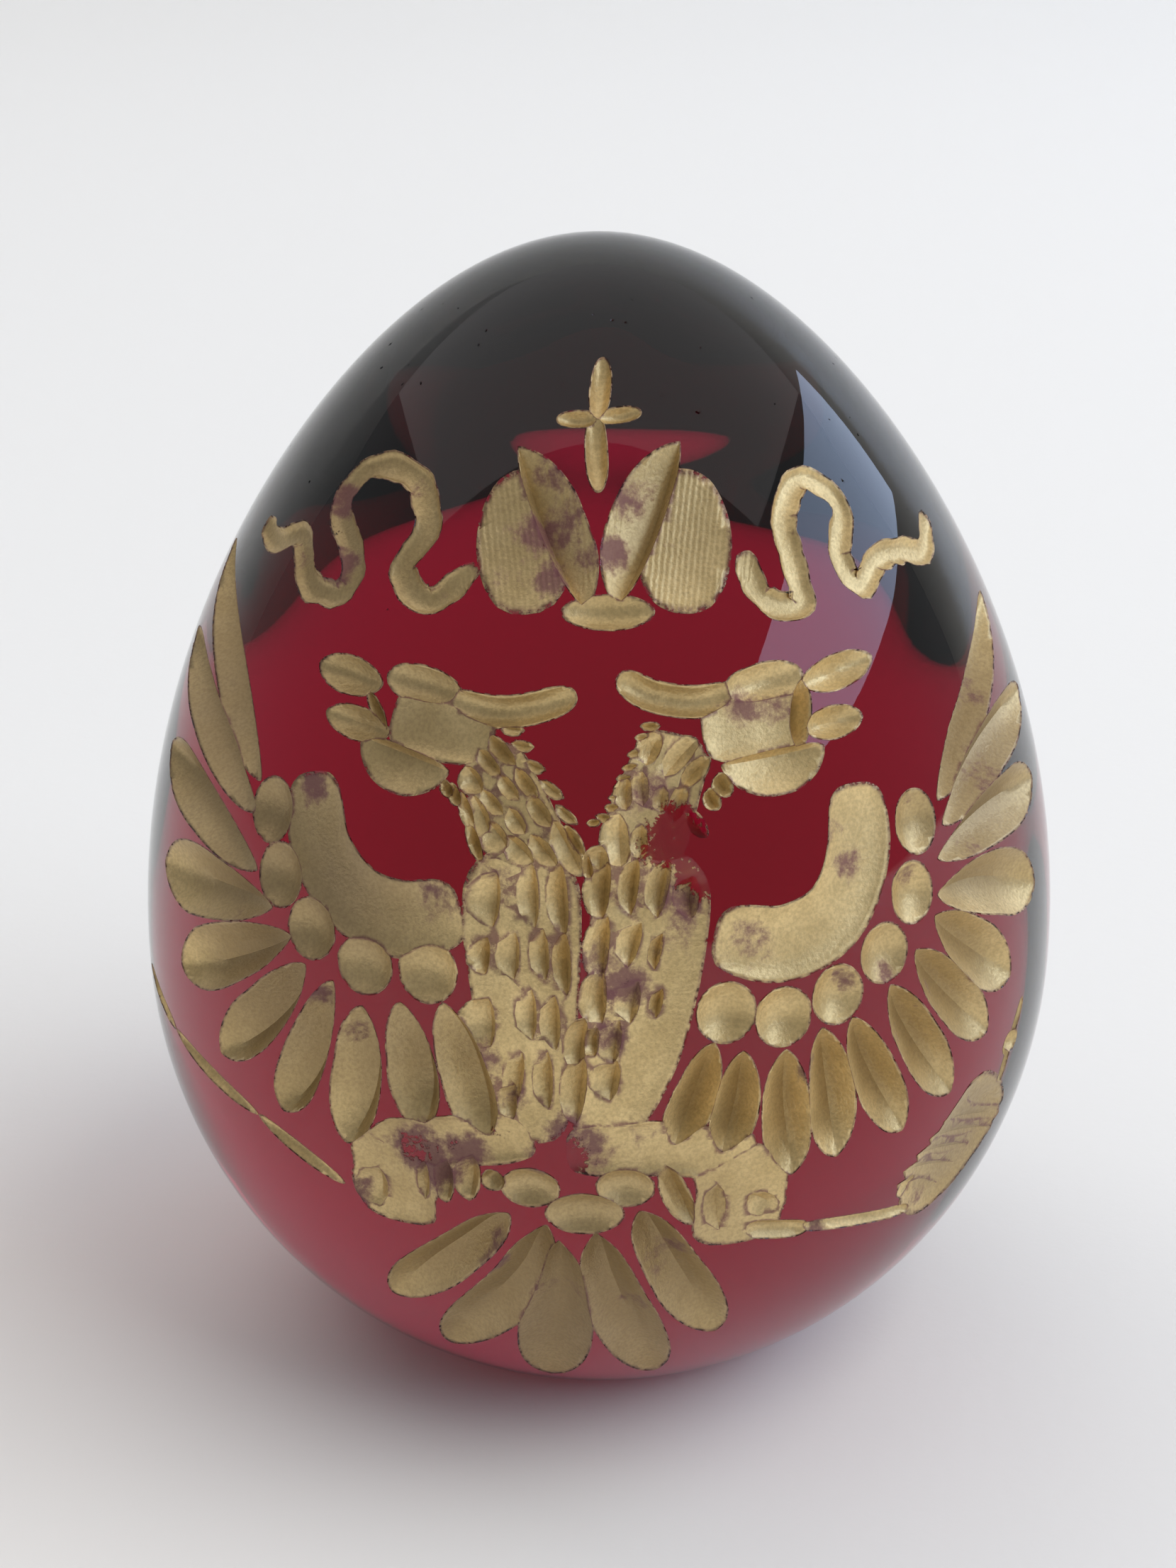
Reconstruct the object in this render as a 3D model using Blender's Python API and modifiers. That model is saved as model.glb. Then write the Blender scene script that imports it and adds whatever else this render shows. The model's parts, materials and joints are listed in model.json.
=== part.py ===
"""Solid ruby glass egg with an engraved and gilded crowned double-headed eagle.

Metres, +Z up. The origin is in the middle of the flat foot, and the eagle faces -Y.
The egg is one turned solid. Every figure on it is cut in by a wheel: each cut is the
sweep of one groove along the surface, and a Boolean takes it out of the glass.

A place on the egg is (turn, rise): degrees round from the front, positive to the
right, and percent of the egg's height above the foot.
"""

import math

import bmesh
import bpy
from mathutils import Vector

MM = 0.001

# Egg
GIRTH_DIAMETER = 54.0 * MM      # widest diameter
TOP_RISE = 40.7 * MM            # from the girth up to the top
BELLY_DROP = 28.0 * MM          # from the girth down to where the belly would close
TOP_DRAW = 0.153                # share by which the upper half draws in to its top
FOOT_DIAMETER = 25.0 * MM       # flat ground under the egg
FOOT_CHAMFER = 0.4 * MM         # narrow ground edge round the foot
EGG_SIDES = 44                  # facets round the egg
UPPER_RINGS = 13                # rings from the top to the girth
LOWER_RINGS = 7                 # rings from the girth to the foot

# Depths of the wheel's cuts, at the deepest line of each
FIELD_DEPTH = 0.45 * MM         # flat fields: arms, body, heads, thighs, crown discs
RIBBON_DEPTH = 0.40 * MM        # ribbons of the crown
BEAD_DEPTH = 0.75 * MM          # round beads along the wings
FEATHER_DEPTH = 1.15 * MM       # feathers of wings and tail
SCALE_DEPTH = 0.90 * MM         # small feather cuts on body and necks
FACET_DEPTH = 1.20 * MM         # the two slanted cuts of the crown
LINE_DEPTH = 0.55 * MM          # thin strokes: cross, beaks, claws, rod and sceptre
CUTTER_CLEAR = 0.35 * MM        # how far a cutter stands out of the glass

# Half widths of the cuts
RIBBON_HALF = 0.70 * MM         # ribbons of the crown
ARM_HALF = 2.10 * MM            # bent arm of a wing
BEAD_HALF = 1.68 * MM           # beads along the arm
BODY_HALF = 3.05 * MM           # each half of the body
NECK_HALF = 2.00 * MM           # necks
TAIL_HALF = 1.55 * MM           # feathers of the tail
THIGH_HALF = 1.65 * MM          # thighs
WING_HALF_TOP = 1.95 * MM       # first feather of a wing
WING_HALF_LOW = 1.45 * MM       # last feather of a wing

GIRTH_RADIUS = GIRTH_DIAMETER / 2
FOOT_RADIUS = FOOT_DIAMETER / 2
GIRTH_HEIGHT = BELLY_DROP * math.sqrt(1 - (FOOT_RADIUS / GIRTH_RADIUS) ** 2)
EGG_HEIGHT = GIRTH_HEIGHT + TOP_RISE


# The egg's own shape

def egg_radius(height):
    """Radius of the egg at a height above the foot."""
    above = height - GIRTH_HEIGHT
    reach = TOP_RISE if above > 0 else BELLY_DROP
    share = min((above / reach) ** 2, 1.0)
    draw = TOP_DRAW * share if above > 0 else 0.0
    return GIRTH_RADIUS * math.sqrt(1 - share) * (1 - draw)


def egg_slope(height):
    """Change of radius for each step up."""
    step = 0.01 * MM
    high = min(height + step, EGG_HEIGHT)
    return (egg_radius(high) - egg_radius(high - 2 * step)) / (2 * step)


def on_egg(turn, height):
    """Point of the surface and the direction straight out of it."""
    angle = math.radians(turn)
    out = Vector((math.sin(angle), -math.cos(angle), 0.0))
    point = out * egg_radius(height) + Vector((0.0, 0.0, height))
    normal = (out - Vector((0.0, 0.0, egg_slope(height)))).normalized()
    return point, normal


def height_of(rise):
    return EGG_HEIGHT * rise / 100


# Paths on the surface. Each is a function of t, from -1 at the start to 1 at the end,
# that gives degrees round and height, and runs on a little past both ends.

def between(start, end):
    """Straight from one place to another."""
    def path(t):
        share = (t + 1) / 2
        turn = start[0] + (end[0] - start[0]) * share
        return turn, height_of(start[1] + (end[1] - start[1]) * share)
    return path


def walk(start, heading, length, curl=0.0):
    """From a place on a heading (degrees clockwise from straight up), bending by curl."""
    steps = 10

    def path(t):
        turn, height = start[0], height_of(start[1])
        stride = length * (t + 1) / 2 / steps
        for k in range(steps):
            bend = curl * (k + 0.5) * (t + 1) / 2 / steps
            aim = math.radians(heading + bend)
            turn += math.degrees(stride * math.sin(aim) / egg_radius(height))
            height += stride * math.cos(aim) / math.hypot(1.0, egg_slope(height))
        return turn, height
    return path


def centred(centre, heading, length):
    """Short straight path with its middle at a place."""
    half = walk(centre, heading + 180, length / 2)
    turn, height = half(1.0)
    return walk((turn, 100 * height / EGG_HEIGHT), heading, length)


def beside(path, t, across):
    """Place beside a path, at a distance to the right of it as seen going along."""
    (turn, height), (next_turn, next_height) = path(t), path(t + 0.02)
    east = math.radians(next_turn - turn) * egg_radius(height)
    north = (next_height - height) * math.hypot(1.0, egg_slope(height))
    heading = math.degrees(math.atan2(east, north))
    turn, height = walk((turn, 100 * height / EGG_HEIGHT), heading + 90, across)(1.0)
    return turn, 100 * height / EGG_HEIGHT


def through(*places):
    """Smooth curve through places chosen along it."""
    last = len(places) - 1

    def path(t):
        along = (t + 1) / 2 * last
        k = max(0, min(last - 1, math.floor(along)))
        u = along - k
        p1, p2 = places[k], places[k + 1]
        p0 = places[k - 1] if k > 0 else [2 * a - b for a, b in zip(p1, p2)]
        p3 = places[k + 2] if k + 2 <= last else [2 * b - a for a, b in zip(p1, p2)]
        if 0 <= u <= 1:
            turn, rise = (
                0.5 * (2 * b + (c - a) * u + (2 * a - 5 * b + 4 * c - d) * u * u
                       + (3 * b - a - 3 * c + d) * u ** 3)
                for a, b, c, d in zip(p0, p1, p2, p3))
        else:
            base, slope = (p1, [c - a for a, c in zip(p0, p2)]) if u < 0 else (
                p2, [d - b for b, d in zip(p1, p3)])
            past = u if u < 0 else u - 1
            turn, rise = (b + s * past / 2 for b, s in zip(base, slope))
        return turn, height_of(rise)
    return path


# Cutters

def section(sides, keel, spread):
    """Sideways places and heights of half grooves, at a depth share of 'spread'."""
    steps = 1 if keel <= 1.2 else 2 if keel <= 2.5 else 3
    shares = [(k / steps) ** (1 / keel) for k in range(1, steps + 1)]
    left = [(-sides[0] * s * spread, s ** keel) for s in reversed(shares)]
    right = [(sides[1] * s * spread, s ** keel) for s in shares]
    return left + [(0.0, 0.0)] + right


def cutter(name, path, sides, depth, keel=2.0, ends=2.0, taper=0.0, stations=6):
    """Closed solid of one wheel cut.

    sides: widths to the left and right of the path, as seen going along it.
    keel: 1 for a V, 2 for a round bottom, 4 for a flat one with steep walls.
    ends: 2 for a lens, more for a band that keeps its depth up to its ends.
    taper: share by which it widens from the middle to its end.
    """
    if not isinstance(sides, tuple):
        sides = (sides, sides)
    reach = (1 + CUTTER_CLEAR / depth) ** (1 / ends)
    rings = []
    for k in range(1, stations + 1):
        t = -reach * math.cos(math.pi * k / (stations + 1))
        point, normal = on_egg(*path(t))
        ahead = on_egg(*path(t + 0.02))[0] - on_egg(*path(t - 0.02))[0]
        across = ahead.cross(normal).normalized()
        floor = -depth * (1 - abs(t) ** ends)
        lift = CUTTER_CLEAR - floor
        spread = (lift / depth) ** (1 / keel) * max(0.1, 1 + taper * t)
        rings.append([
            point + across * y + normal * (floor + lift * share)
            for y, share in section(sides, keel, spread)])
    tips = []
    for t in (-reach, reach):
        point, normal = on_egg(*path(t))
        tips.append(point + normal * CUTTER_CLEAR)

    bm = bmesh.new()
    loops = [[bm.verts.new(co) for co in ring] for ring in rings]
    first, last = (bm.verts.new(co) for co in tips)
    count = len(loops[0])
    for a, b in zip(loops, loops[1:]):
        for j in range(count):
            bm.faces.new((a[j], a[(j + 1) % count], b[(j + 1) % count], b[j]))
    for j in range(count):
        bm.faces.new((first, loops[0][(j + 1) % count], loops[0][j]))
        bm.faces.new((last, loops[-1][j], loops[-1][(j + 1) % count]))
    bmesh.ops.recalc_face_normals(bm, faces=bm.faces)
    mesh = bpy.data.meshes.new(name)
    bm.to_mesh(mesh)
    bm.free()
    mesh.materials.append(gilding)
    piece = bpy.data.objects.new(name, mesh)
    piece.hide_render = True
    piece.display_type = "WIRE"
    cutters.objects.link(piece)
    return piece


def dish(name, centre, half_across, half_up, depth, lean=0.0, **shape):
    """Round or oval cut, upright unless it leans."""
    return cutter(name, centred(centre, lean, 2 * half_up), half_across, depth, **shape)


# Parts of the eagle

def cut_cross():
    cutter("cross_upright", between((-1.0, 90.0), (2.0, 93.3)), 0.55 * MM, LINE_DEPTH)
    cutter("cross_stem", between((-1.0, 89.4), (0.0, 85.4)), 0.50 * MM, LINE_DEPTH, taper=-0.4)
    cutter("cross_bar", between((-9.0, 89.6), (9.0, 90.1)), 0.50 * MM, LINE_DEPTH, ends=4)


def cut_crown():
    for name, turn, lean in (("left", -12.2, -7), ("right", 14.0, 8)):
        dish("crown_disc_" + name, (turn, 81.7), 2.65 * MM, 3.75 * MM, FIELD_DEPTH,
             lean=lean, keel=3)
    cutter("crown_facet_left", between((-2.0, 78.2), (-16.0, 87.6)),
           (0.40 * MM, 2.90 * MM), FACET_DEPTH, keel=1.5, ends=2.6)
    cutter("crown_facet_right", between((3.0, 78.4), (16.0, 88.0)),
           (2.80 * MM, 0.40 * MM), FACET_DEPTH, keel=1.5, ends=2.6)
    dish("crown_base", (1.2, 77.2), 2.25 * MM, 0.90 * MM, LINE_DEPTH)


def cut_ribbons():
    left = through((-19, 79.8), (-26, 77.2), (-31.5, 79.0), (-29.5, 82.2), (-36, 85.0),
                   (-47, 84.9), (-49.5, 82.0), (-41.5, 79.0), (-41.5, 76.6), (-49, 76.4),
                   (-56, 79.2), (-63, 78.0), (-70, 78.6))
    right = through((23, 80.6), (25, 77.4), (31, 76.6), (31.5, 79.4), (33, 82.8),
                    (40, 84.6), (45.5, 82.4), (41, 79.4), (43, 77.0), (49, 78.2),
                    (55, 78.2), (62, 77.4), (69, 79.4))
    for name, path in (("left", left), ("right", right)):
        cutter("ribbon_" + name, path, RIBBON_HALF, RIBBON_DEPTH, keel=3, ends=16,
               stations=30)


def cut_head(name, side, rise=0.0):
    """Head in profile, looking to its own side: -1 left, 1 right."""
    def at(turn, height):
        return side * turn, height + rise

    def line(part, start, end, sides, depth, **shape):
        cutter(name + part, between(at(*start), at(*end)), sides, depth, **shape)

    throat = (0.45 * MM, 2.10 * MM)
    line("_face", (13.0, 68.6), (27.5, 69.2), 1.75 * MM, FIELD_DEPTH, keel=4, ends=4)
    line("_crest", (16.5, 71.2), (29.0, 72.0), 1.05 * MM, BEAD_DEPTH)
    line("_upper_beak", (28.5, 71.8), (39.5, 71.2), 0.98 * MM, BEAD_DEPTH)
    line("_lower_beak", (26.5, 67.6), (37.0, 67.7), 0.82 * MM, BEAD_DEPTH)
    line("_mouth", (28.6, 71.2), (26.6, 67.0), 0.30 * MM, FACET_DEPTH, keel=1)
    line("_throat", (30.8, 67.2), (17.0, 66.0), throat if side < 0 else throat[::-1],
         BEAD_DEPTH, keel=1.6)
    horn = through(at(2.6, 72.4), at(8.0, 70.7), at(14.0, 70.0), at(20.0, 71.2))
    cutter(name + "_horn", horn, 0.85 * MM, BEAD_DEPTH, keel=3, ends=4)


def cut_neck(name, side, top, foot, slant):
    """Field down the neck, with rows of slanting scales and a fringe on its inner edge."""
    axis = between(top, foot)
    cutter(name, axis, NECK_HALF, FIELD_DEPTH * 0.7, keel=4, ends=6, taper=0.15, stations=5)
    rows, columns, spread = 5, 3, 1.45 * MM
    for row in range(rows):
        for column in range(columns):
            t = -0.8 + 1.6 * row / (rows - 1) + 0.14 * (column % 2)
            place = beside(axis, t, (column - 1) * spread)
            cutter(f"{name}_scale_{row}_{column}", centred(place, slant, 2.2 * MM),
                   (0.66 * MM, 0.50 * MM), SCALE_DEPTH * 0.8, keel=1.5, stations=4)
    fringe = 6
    for k in range(fringe):
        share = k / (fringe - 1)
        place = beside(axis, -1.15 + 1.7 * share, side * 2.5 * MM)
        cutter(f"{name}_fringe_{k}", centred(place, 90 + side * 25 * (1 - share), 1.8 * MM),
               0.45 * MM, LINE_DEPTH, stations=4)


def cut_body(name, axis, rows, pitch):
    """Half of the body: a flat field with rows of upright feather cuts."""
    cutter(name, axis, BODY_HALF, FIELD_DEPTH, keel=4, ends=5, taper=-0.30, stations=8)
    for row in range(rows):
        t = -0.62 + 1.42 * row / (rows - 1)
        columns = 3 if row < rows - 2 else 2 if row == rows - 2 else 1
        for column in range(columns):
            place = beside(axis, t, -(column - (columns - 1) / 2) * pitch)
            cutter(f"{name}_scale_{row}_{column}", centred(place, 180, 3.0 * MM),
                   (0.28 * MM, 0.72 * MM), SCALE_DEPTH, keel=1.2, stations=4)


def cut_wing(name, side, arm, beads, fan):
    """Wing: a bent arm, beads round its outer edge and a fan of feathers."""
    cutter(name + "_arm", through(*arm), ARM_HALF, FIELD_DEPTH, keel=4, ends=6, stations=12)
    for k, place in enumerate(beads):
        dish(f"{name}_bead_{k + 1}", place, BEAD_HALF, BEAD_HALF, BEAD_DEPTH, stations=5)
    count = fan["feathers"]
    for k in range(count):
        share = k / (count - 1)
        root = math.radians(fan["first_root"] + fan["root_sweep"] * share ** fan["root_ease"])
        turn = fan["centre"][0] + fan["half_turn"] * math.cos(root)
        rise = fan["centre"][1] - fan["half_rise"] * math.sin(root)
        late = share ** fan["aim_ease"]
        eased = (1 - fan["aim_bend"]) * late + fan["aim_bend"] * late * late * (3 - 2 * late)
        heading = fan["first_aim"] + fan["aim_sweep"] * eased
        length = fan["last_length"] + fan["extra_length"] * (1 - share) ** 1.75
        half = WING_HALF_LOW + (WING_HALF_TOP - WING_HALF_LOW) * (1 - share)
        cutter(f"{name}_feather_{k + 1}",
               walk((side * turn, rise), side * heading, length, curl=-side * fan["curl"]),
               half, FEATHER_DEPTH, keel=1.4, ends=2.2, taper=0.35 * (1 - share) + 0.05,
               stations=7)


def cut_tail(feathers=5):
    """Three knobs and a fan of drop-shaped feathers below them."""
    dish("tail_knob_left", (-8.0, 33.4), 1.60 * MM, 1.25 * MM, BEAD_DEPTH)
    dish("tail_knob_right", (3.4, 33.6), 1.60 * MM, 1.25 * MM, BEAD_DEPTH)
    dish("tail_knob_middle", (-2.2, 31.0), 2.15 * MM, 1.45 * MM, BEAD_DEPTH)
    middle = (feathers - 1) / 2
    for k in range(feathers):
        out = (k - middle) / middle
        root = (-2.8 + 7.0 * out, 28.0 + 2.8 * out * out)
        length = (16.0 - 4.0 * out * out) * MM
        cutter(f"tail_feather_{k + 1}", walk(root, 188.5 - 34.5 * out, length), TAIL_HALF,
               FEATHER_DEPTH, keel=1.6, ends=2.6, taper=0.55, stations=7)


def cut_leg(name, thigh, claw, toes):
    """Flat thigh and claw, with the toes cut deeper into the claw."""
    cutter(name + "_thigh", through(*thigh), THIGH_HALF, FIELD_DEPTH, keel=4, ends=6,
           stations=7)
    centre, half_across, half_up = claw
    dish(name + "_claw", centre, half_across, half_up, FIELD_DEPTH, keel=4, ends=4)
    for k, (place, half_across, half_up) in enumerate(toes):
        dish(f"{name}_toe_{k + 1}", place, half_across, half_up, SCALE_DEPTH, stations=4)


def cut_rod():
    """Rod in the left claw: a chain of thin lens cuts."""
    joints = ((-30.5, 30.4), (-43.2, 34.0), (-62.0, 36.4), (-74.5, 38.6))
    for k, (start, end) in enumerate(zip(joints, joints[1:])):
        cutter(f"rod_{k + 1}", between(start, end), 0.55 * MM, LINE_DEPTH)


def cut_sceptre():
    """Sceptre in the right claw: shaft, leaf, stem and knob."""
    cutter("sceptre_grip", between((16.5, 28.2), (25.5, 26.8)), 0.70 * MM, LINE_DEPTH, ends=4)
    cutter("sceptre_shaft", between((24.5, 26.8), (41.0, 25.4)), 0.50 * MM, LINE_DEPTH, ends=6)
    cutter("sceptre_leaf", walk((41.0, 24.6), 38, 8.8 * MM, curl=-12),
           (1.00 * MM, 1.75 * MM), SCALE_DEPTH, keel=1.5)
    dish("sceptre_collar", (41.0, 26.9), 0.75 * MM, 0.75 * MM, LINE_DEPTH, stations=4)
    cutter("sceptre_stem", between((55.6, 33.0), (58.4, 40.4)), 0.28 * MM, RIBBON_DEPTH, ends=6)
    dish("sceptre_knob", (57.4, 36.8), 0.70 * MM, 0.70 * MM, LINE_DEPTH, stations=4)


def cut_eagle():
    cut_cross()
    cut_crown()
    cut_ribbons()
    cut_head("head_left", -1)
    cut_head("head_right", 1, rise=0.3)
    cut_neck("neck_left", -1, (-14.2, 67.8), (-7.6, 60.2), slant=150)
    cut_neck("neck_right", 1, (10.4, 68.6), (4.4, 60.2), slant=-160)
    cut_body("body_left", between((-9.2, 61.0), (-7.0, 37.6)), rows=4, pitch=1.95 * MM)
    cut_body("body_right", through((6.0, 61.0), (5.4, 53.5), (3.6, 46.0), (-0.4, 37.6)),
             rows=5, pitch=1.95 * MM)
    cut_wing(
        "wing_left", -1,
        arm=((-37.6, 64.0), (-34.6, 58.6), (-28.5, 55.3), (-22.0, 54.7), (-15.6, 56.2)),
        beads=((-43.2, 60.2), (-40.2, 55.6), (-34.6, 52.3), (-27.0, 50.6), (-19.2, 51.0)),
        fan={"feathers": 10, "centre": (20.0, 61.0), "half_turn": 26.0, "half_rise": 12.6,
             "first_root": -4.0, "root_sweep": 97.0, "root_ease": 0.85,
             "first_aim": 61.0, "aim_sweep": 135.0, "aim_ease": 1.0, "aim_bend": 0.5,
             "last_length": 8.2 * MM, "extra_length": 9.6 * MM, "curl": 14.0})
    cut_wing(
        "wing_right", 1,
        arm=((32.6, 63.8), (32.0, 59.0), (28.0, 54.6), (21.0, 53.0), (12.8, 54.4)),
        beads=((41.2, 59.6), (39.0, 54.4), (34.0, 50.4), (27.4, 48.1), (20.6, 47.2),
               (14.0, 48.2)),
        fan={"feathers": 12, "centre": (16.0, 60.5), "half_turn": 30.0, "half_rise": 15.7,
             "first_root": -1.0, "root_sweep": 99.0, "root_ease": 1.0,
             "first_aim": 66.0, "aim_sweep": 135.0, "aim_ease": 0.85, "aim_bend": 0.2,
             "last_length": 6.6 * MM, "extra_length": 10.6 * MM, "curl": 6.0})
    cut_tail()
    cut_leg("leg_left", ((-7.0, 38.2), (-13.5, 37.4), (-20.0, 36.4), (-26.5, 34.4)),
            ((-24.8, 32.6), 2.6 * MM, 2.8 * MM),
            (((-26.4, 30.4), 0.85 * MM, 1.45 * MM), ((-21.4, 31.8), 0.80 * MM, 1.50 * MM),
             ((-17.0, 34.2), 0.60 * MM, 1.20 * MM), ((-13.6, 33.8), 0.65 * MM, 1.40 * MM)))
    cut_leg("leg_right", ((-3.6, 37.0), (3.0, 37.2), (10.0, 36.8), (17.5, 35.4)),
            ((16.8, 31.0), 2.8 * MM, 3.4 * MM),
            (((13.8, 30.6), 0.75 * MM, 1.45 * MM), ((19.4, 30.6), 1.10 * MM, 1.00 * MM),
             ((9.0, 33.0), 0.65 * MM, 1.50 * MM)))
    cut_rod()
    cut_sceptre()


# Scene objects

def make_material(name, colour, roughness, metallic, transmission=0.0):
    material = bpy.data.materials.new(name)
    material.use_nodes = True
    shader = material.node_tree.nodes["Principled BSDF"]
    shader.inputs["Base Color"].default_value = (*colour, 1.0)
    shader.inputs["Roughness"].default_value = roughness
    shader.inputs["Metallic"].default_value = metallic
    shader.inputs["Transmission Weight"].default_value = transmission
    material.diffuse_color = (*colour, 1.0)
    return material


def make_egg():
    """Turned egg: half profile at +X from the top down to the foot, then a Screw."""
    outline = [(0.0, EGG_HEIGHT)]
    for k in range(1, UPPER_RINGS):
        height = GIRTH_HEIGHT + TOP_RISE * math.cos(math.pi / 2 * k / UPPER_RINGS)
        outline.append((egg_radius(height), height))
    foot_angle = math.acos((FOOT_RADIUS + FOOT_CHAMFER) / GIRTH_RADIUS)
    for k in range(LOWER_RINGS + 1):
        height = GIRTH_HEIGHT - BELLY_DROP * math.sin(foot_angle * k / LOWER_RINGS)
        outline.append((egg_radius(height), height))
    outline += [(FOOT_RADIUS, 0.0), (0.0, 0.0)]
    mesh = bpy.data.meshes.new("glass_egg")
    edges = [(k, k + 1) for k in range(len(outline) - 1)]
    mesh.from_pydata([(x, 0.0, z) for x, z in outline], edges, [])
    mesh.materials.append(ruby)
    egg = bpy.data.objects.new("glass_egg", mesh)
    parts.objects.link(egg)
    turned = egg.modifiers.new("Turned", "SCREW")
    turned.steps = turned.render_steps = EGG_SIDES
    turned.use_merge_vertices = True
    turned.merge_threshold = 0.01 * MM
    engraved = egg.modifiers.new("Engraved", "BOOLEAN")
    engraved.operation = "DIFFERENCE"
    engraved.solver = "EXACT"
    engraved.operand_type = "COLLECTION"
    engraved.collection = cutters
    engraved.material_mode = "TRANSFER"
    return egg


for old in list(bpy.data.objects):
    bpy.data.objects.remove(old, do_unlink=True)
parts = bpy.data.collections.new("Engraved egg")
cutters = bpy.data.collections.new("Engraving cutters")
for collection in (parts, cutters):
    bpy.context.scene.collection.children.link(collection)
ruby = make_material("ruby_glass", (0.45, 0.01, 0.05), 0.02, 0.0, transmission=1.0)
gilding = make_material("old_gilding", (0.46, 0.36, 0.18), 0.55, 0.85)
cut_eagle()
make_egg()
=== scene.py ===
"""Looks of the solid ruby glass egg with its engraved and gilded double-headed eagle.

Metres, +Z up, the eagle faces -Y. A place on the egg is (turn, rise): degrees round from
the front, positive to the viewer's right, and percent of the egg's height above the foot.

The egg is a turned blank. Long strokes of the wheel are swept grooves, short ones are
copies of a few unit cuts, and one Boolean takes them all out of the glass. The gilding is
a thin coat laid over the faces that the cuts leave.
"""

import json
import math

import bmesh
import bpy
import numpy as np
from mathutils import Matrix, Vector, noise

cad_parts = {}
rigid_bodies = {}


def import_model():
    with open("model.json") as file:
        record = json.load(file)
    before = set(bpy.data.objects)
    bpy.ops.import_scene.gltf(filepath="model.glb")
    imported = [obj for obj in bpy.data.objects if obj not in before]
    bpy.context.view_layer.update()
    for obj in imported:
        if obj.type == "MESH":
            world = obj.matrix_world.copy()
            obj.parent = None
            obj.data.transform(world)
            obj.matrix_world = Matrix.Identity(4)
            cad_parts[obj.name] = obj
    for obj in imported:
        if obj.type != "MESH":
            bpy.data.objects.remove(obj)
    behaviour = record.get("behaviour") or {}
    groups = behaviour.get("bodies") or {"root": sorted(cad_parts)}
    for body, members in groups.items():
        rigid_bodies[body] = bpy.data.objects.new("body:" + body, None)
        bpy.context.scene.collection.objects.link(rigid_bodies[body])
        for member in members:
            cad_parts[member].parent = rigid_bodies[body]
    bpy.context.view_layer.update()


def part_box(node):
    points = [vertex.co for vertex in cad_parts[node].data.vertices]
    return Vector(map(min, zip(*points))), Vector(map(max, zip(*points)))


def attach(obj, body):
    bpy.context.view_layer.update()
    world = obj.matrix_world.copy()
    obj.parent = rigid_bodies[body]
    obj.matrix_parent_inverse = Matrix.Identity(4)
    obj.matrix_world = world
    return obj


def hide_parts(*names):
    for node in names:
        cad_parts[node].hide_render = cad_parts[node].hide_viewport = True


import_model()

MM = 0.001

# Egg
LOW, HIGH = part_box("glass_egg")
GIRTH_RADIUS = (HIGH.x - LOW.x) / 2
EGG_HEIGHT = HIGH.z - LOW.z
TOP_RISE = 40.7 * MM            # from the girth up to the top
TOP_DRAW = 0.153                # share by which the upper half draws in to its top
FOOT_RADIUS = 12.5 * MM         # flat ground under the egg
FOOT_CHAMFER = 0.4 * MM         # narrow ground edge round the foot
GIRTH_HEIGHT = EGG_HEIGHT - TOP_RISE
BELLY_DROP = GIRTH_HEIGHT / math.sqrt(1 - (FOOT_RADIUS / GIRTH_RADIUS) ** 2)
CHAMFER_HEIGHT = GIRTH_HEIGHT - BELLY_DROP * math.sqrt(
    1 - ((FOOT_RADIUS + FOOT_CHAMFER) / GIRTH_RADIUS) ** 2)
EGG_SIDES = 168
EGG_RINGS = 112
MERGE_WITHIN = 0.0005 * MM      # closes the poles of the blank
CREASE = math.radians(38)       # edges sharper than this stay crisp

# Depths of the wheel's cuts, at the deepest line of each
FIELD_DEPTH = 0.45 * MM         # flat fields: arms, body, heads, thighs, crown discs
RIBBON_DEPTH = 0.40 * MM        # ribbons of the crown
BEAD_DEPTH = 0.75 * MM          # round beads along the wings
FEATHER_DEPTH = 1.50 * MM       # feathers of wings and tail
FACET_DEPTH = 1.20 * MM         # the two slanted cuts of the crown
LINE_DEPTH = 0.55 * MM          # thin strokes
CUTTER_CLEAR = 0.35 * MM        # how far a swept cutter stands out of the glass

# Gilding
COAT_OVER = 0.030 * MM          # how far the coat stands over the cut
COAT_UNDER = 0.015 * MM         # how far it reaches into the ground glass
RIDGE_FROM = math.radians(12)   # from here on, ridges between cuts get painted shade lines


def add_object(name, data):
    """A new object in the scene, made of its data."""
    made = bpy.data.objects.new(name, data)
    bpy.context.scene.collection.objects.link(made)
    return made


# The egg's own shape

def egg_radius(height):
    """Radius of the egg at a height above the foot."""
    above = height - GIRTH_HEIGHT
    reach = TOP_RISE if above > 0 else BELLY_DROP
    share = min((above / reach) ** 2, 1.0)
    draw = TOP_DRAW * share if above > 0 else 0.0
    return GIRTH_RADIUS * math.sqrt(1 - share) * (1 - draw)


def egg_slope(height):
    """Change of radius for each step up."""
    step = 0.01 * MM
    high = min(height + step, EGG_HEIGHT)
    return (egg_radius(high) - egg_radius(high - 2 * step)) / (2 * step)


def on_egg(turn, height):
    """Point of the surface and the direction straight out of it."""
    angle = math.radians(turn)
    out = Vector((math.sin(angle), -math.cos(angle), 0.0))
    point = out * egg_radius(height) + Vector((0.0, 0.0, height))
    normal = (out - Vector((0.0, 0.0, egg_slope(height)))).normalized()
    return point, normal


def height_of(rise):
    return EGG_HEIGHT * rise / 100


# Paths on the surface. Each is a function of t, from -1 at the start to 1 at the end,
# that gives degrees round and height, and runs on a little past both ends.

def place_at(path, t):
    """Place, as turn and rise, that a path comes to at t."""
    turn, height = path(t)
    return turn, 100 * height / EGG_HEIGHT


def between(start, end):
    """Straight from one place to another."""
    def path(t):
        share = (t + 1) / 2
        turn = start[0] + (end[0] - start[0]) * share
        return turn, height_of(start[1] + (end[1] - start[1]) * share)
    return path


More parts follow.
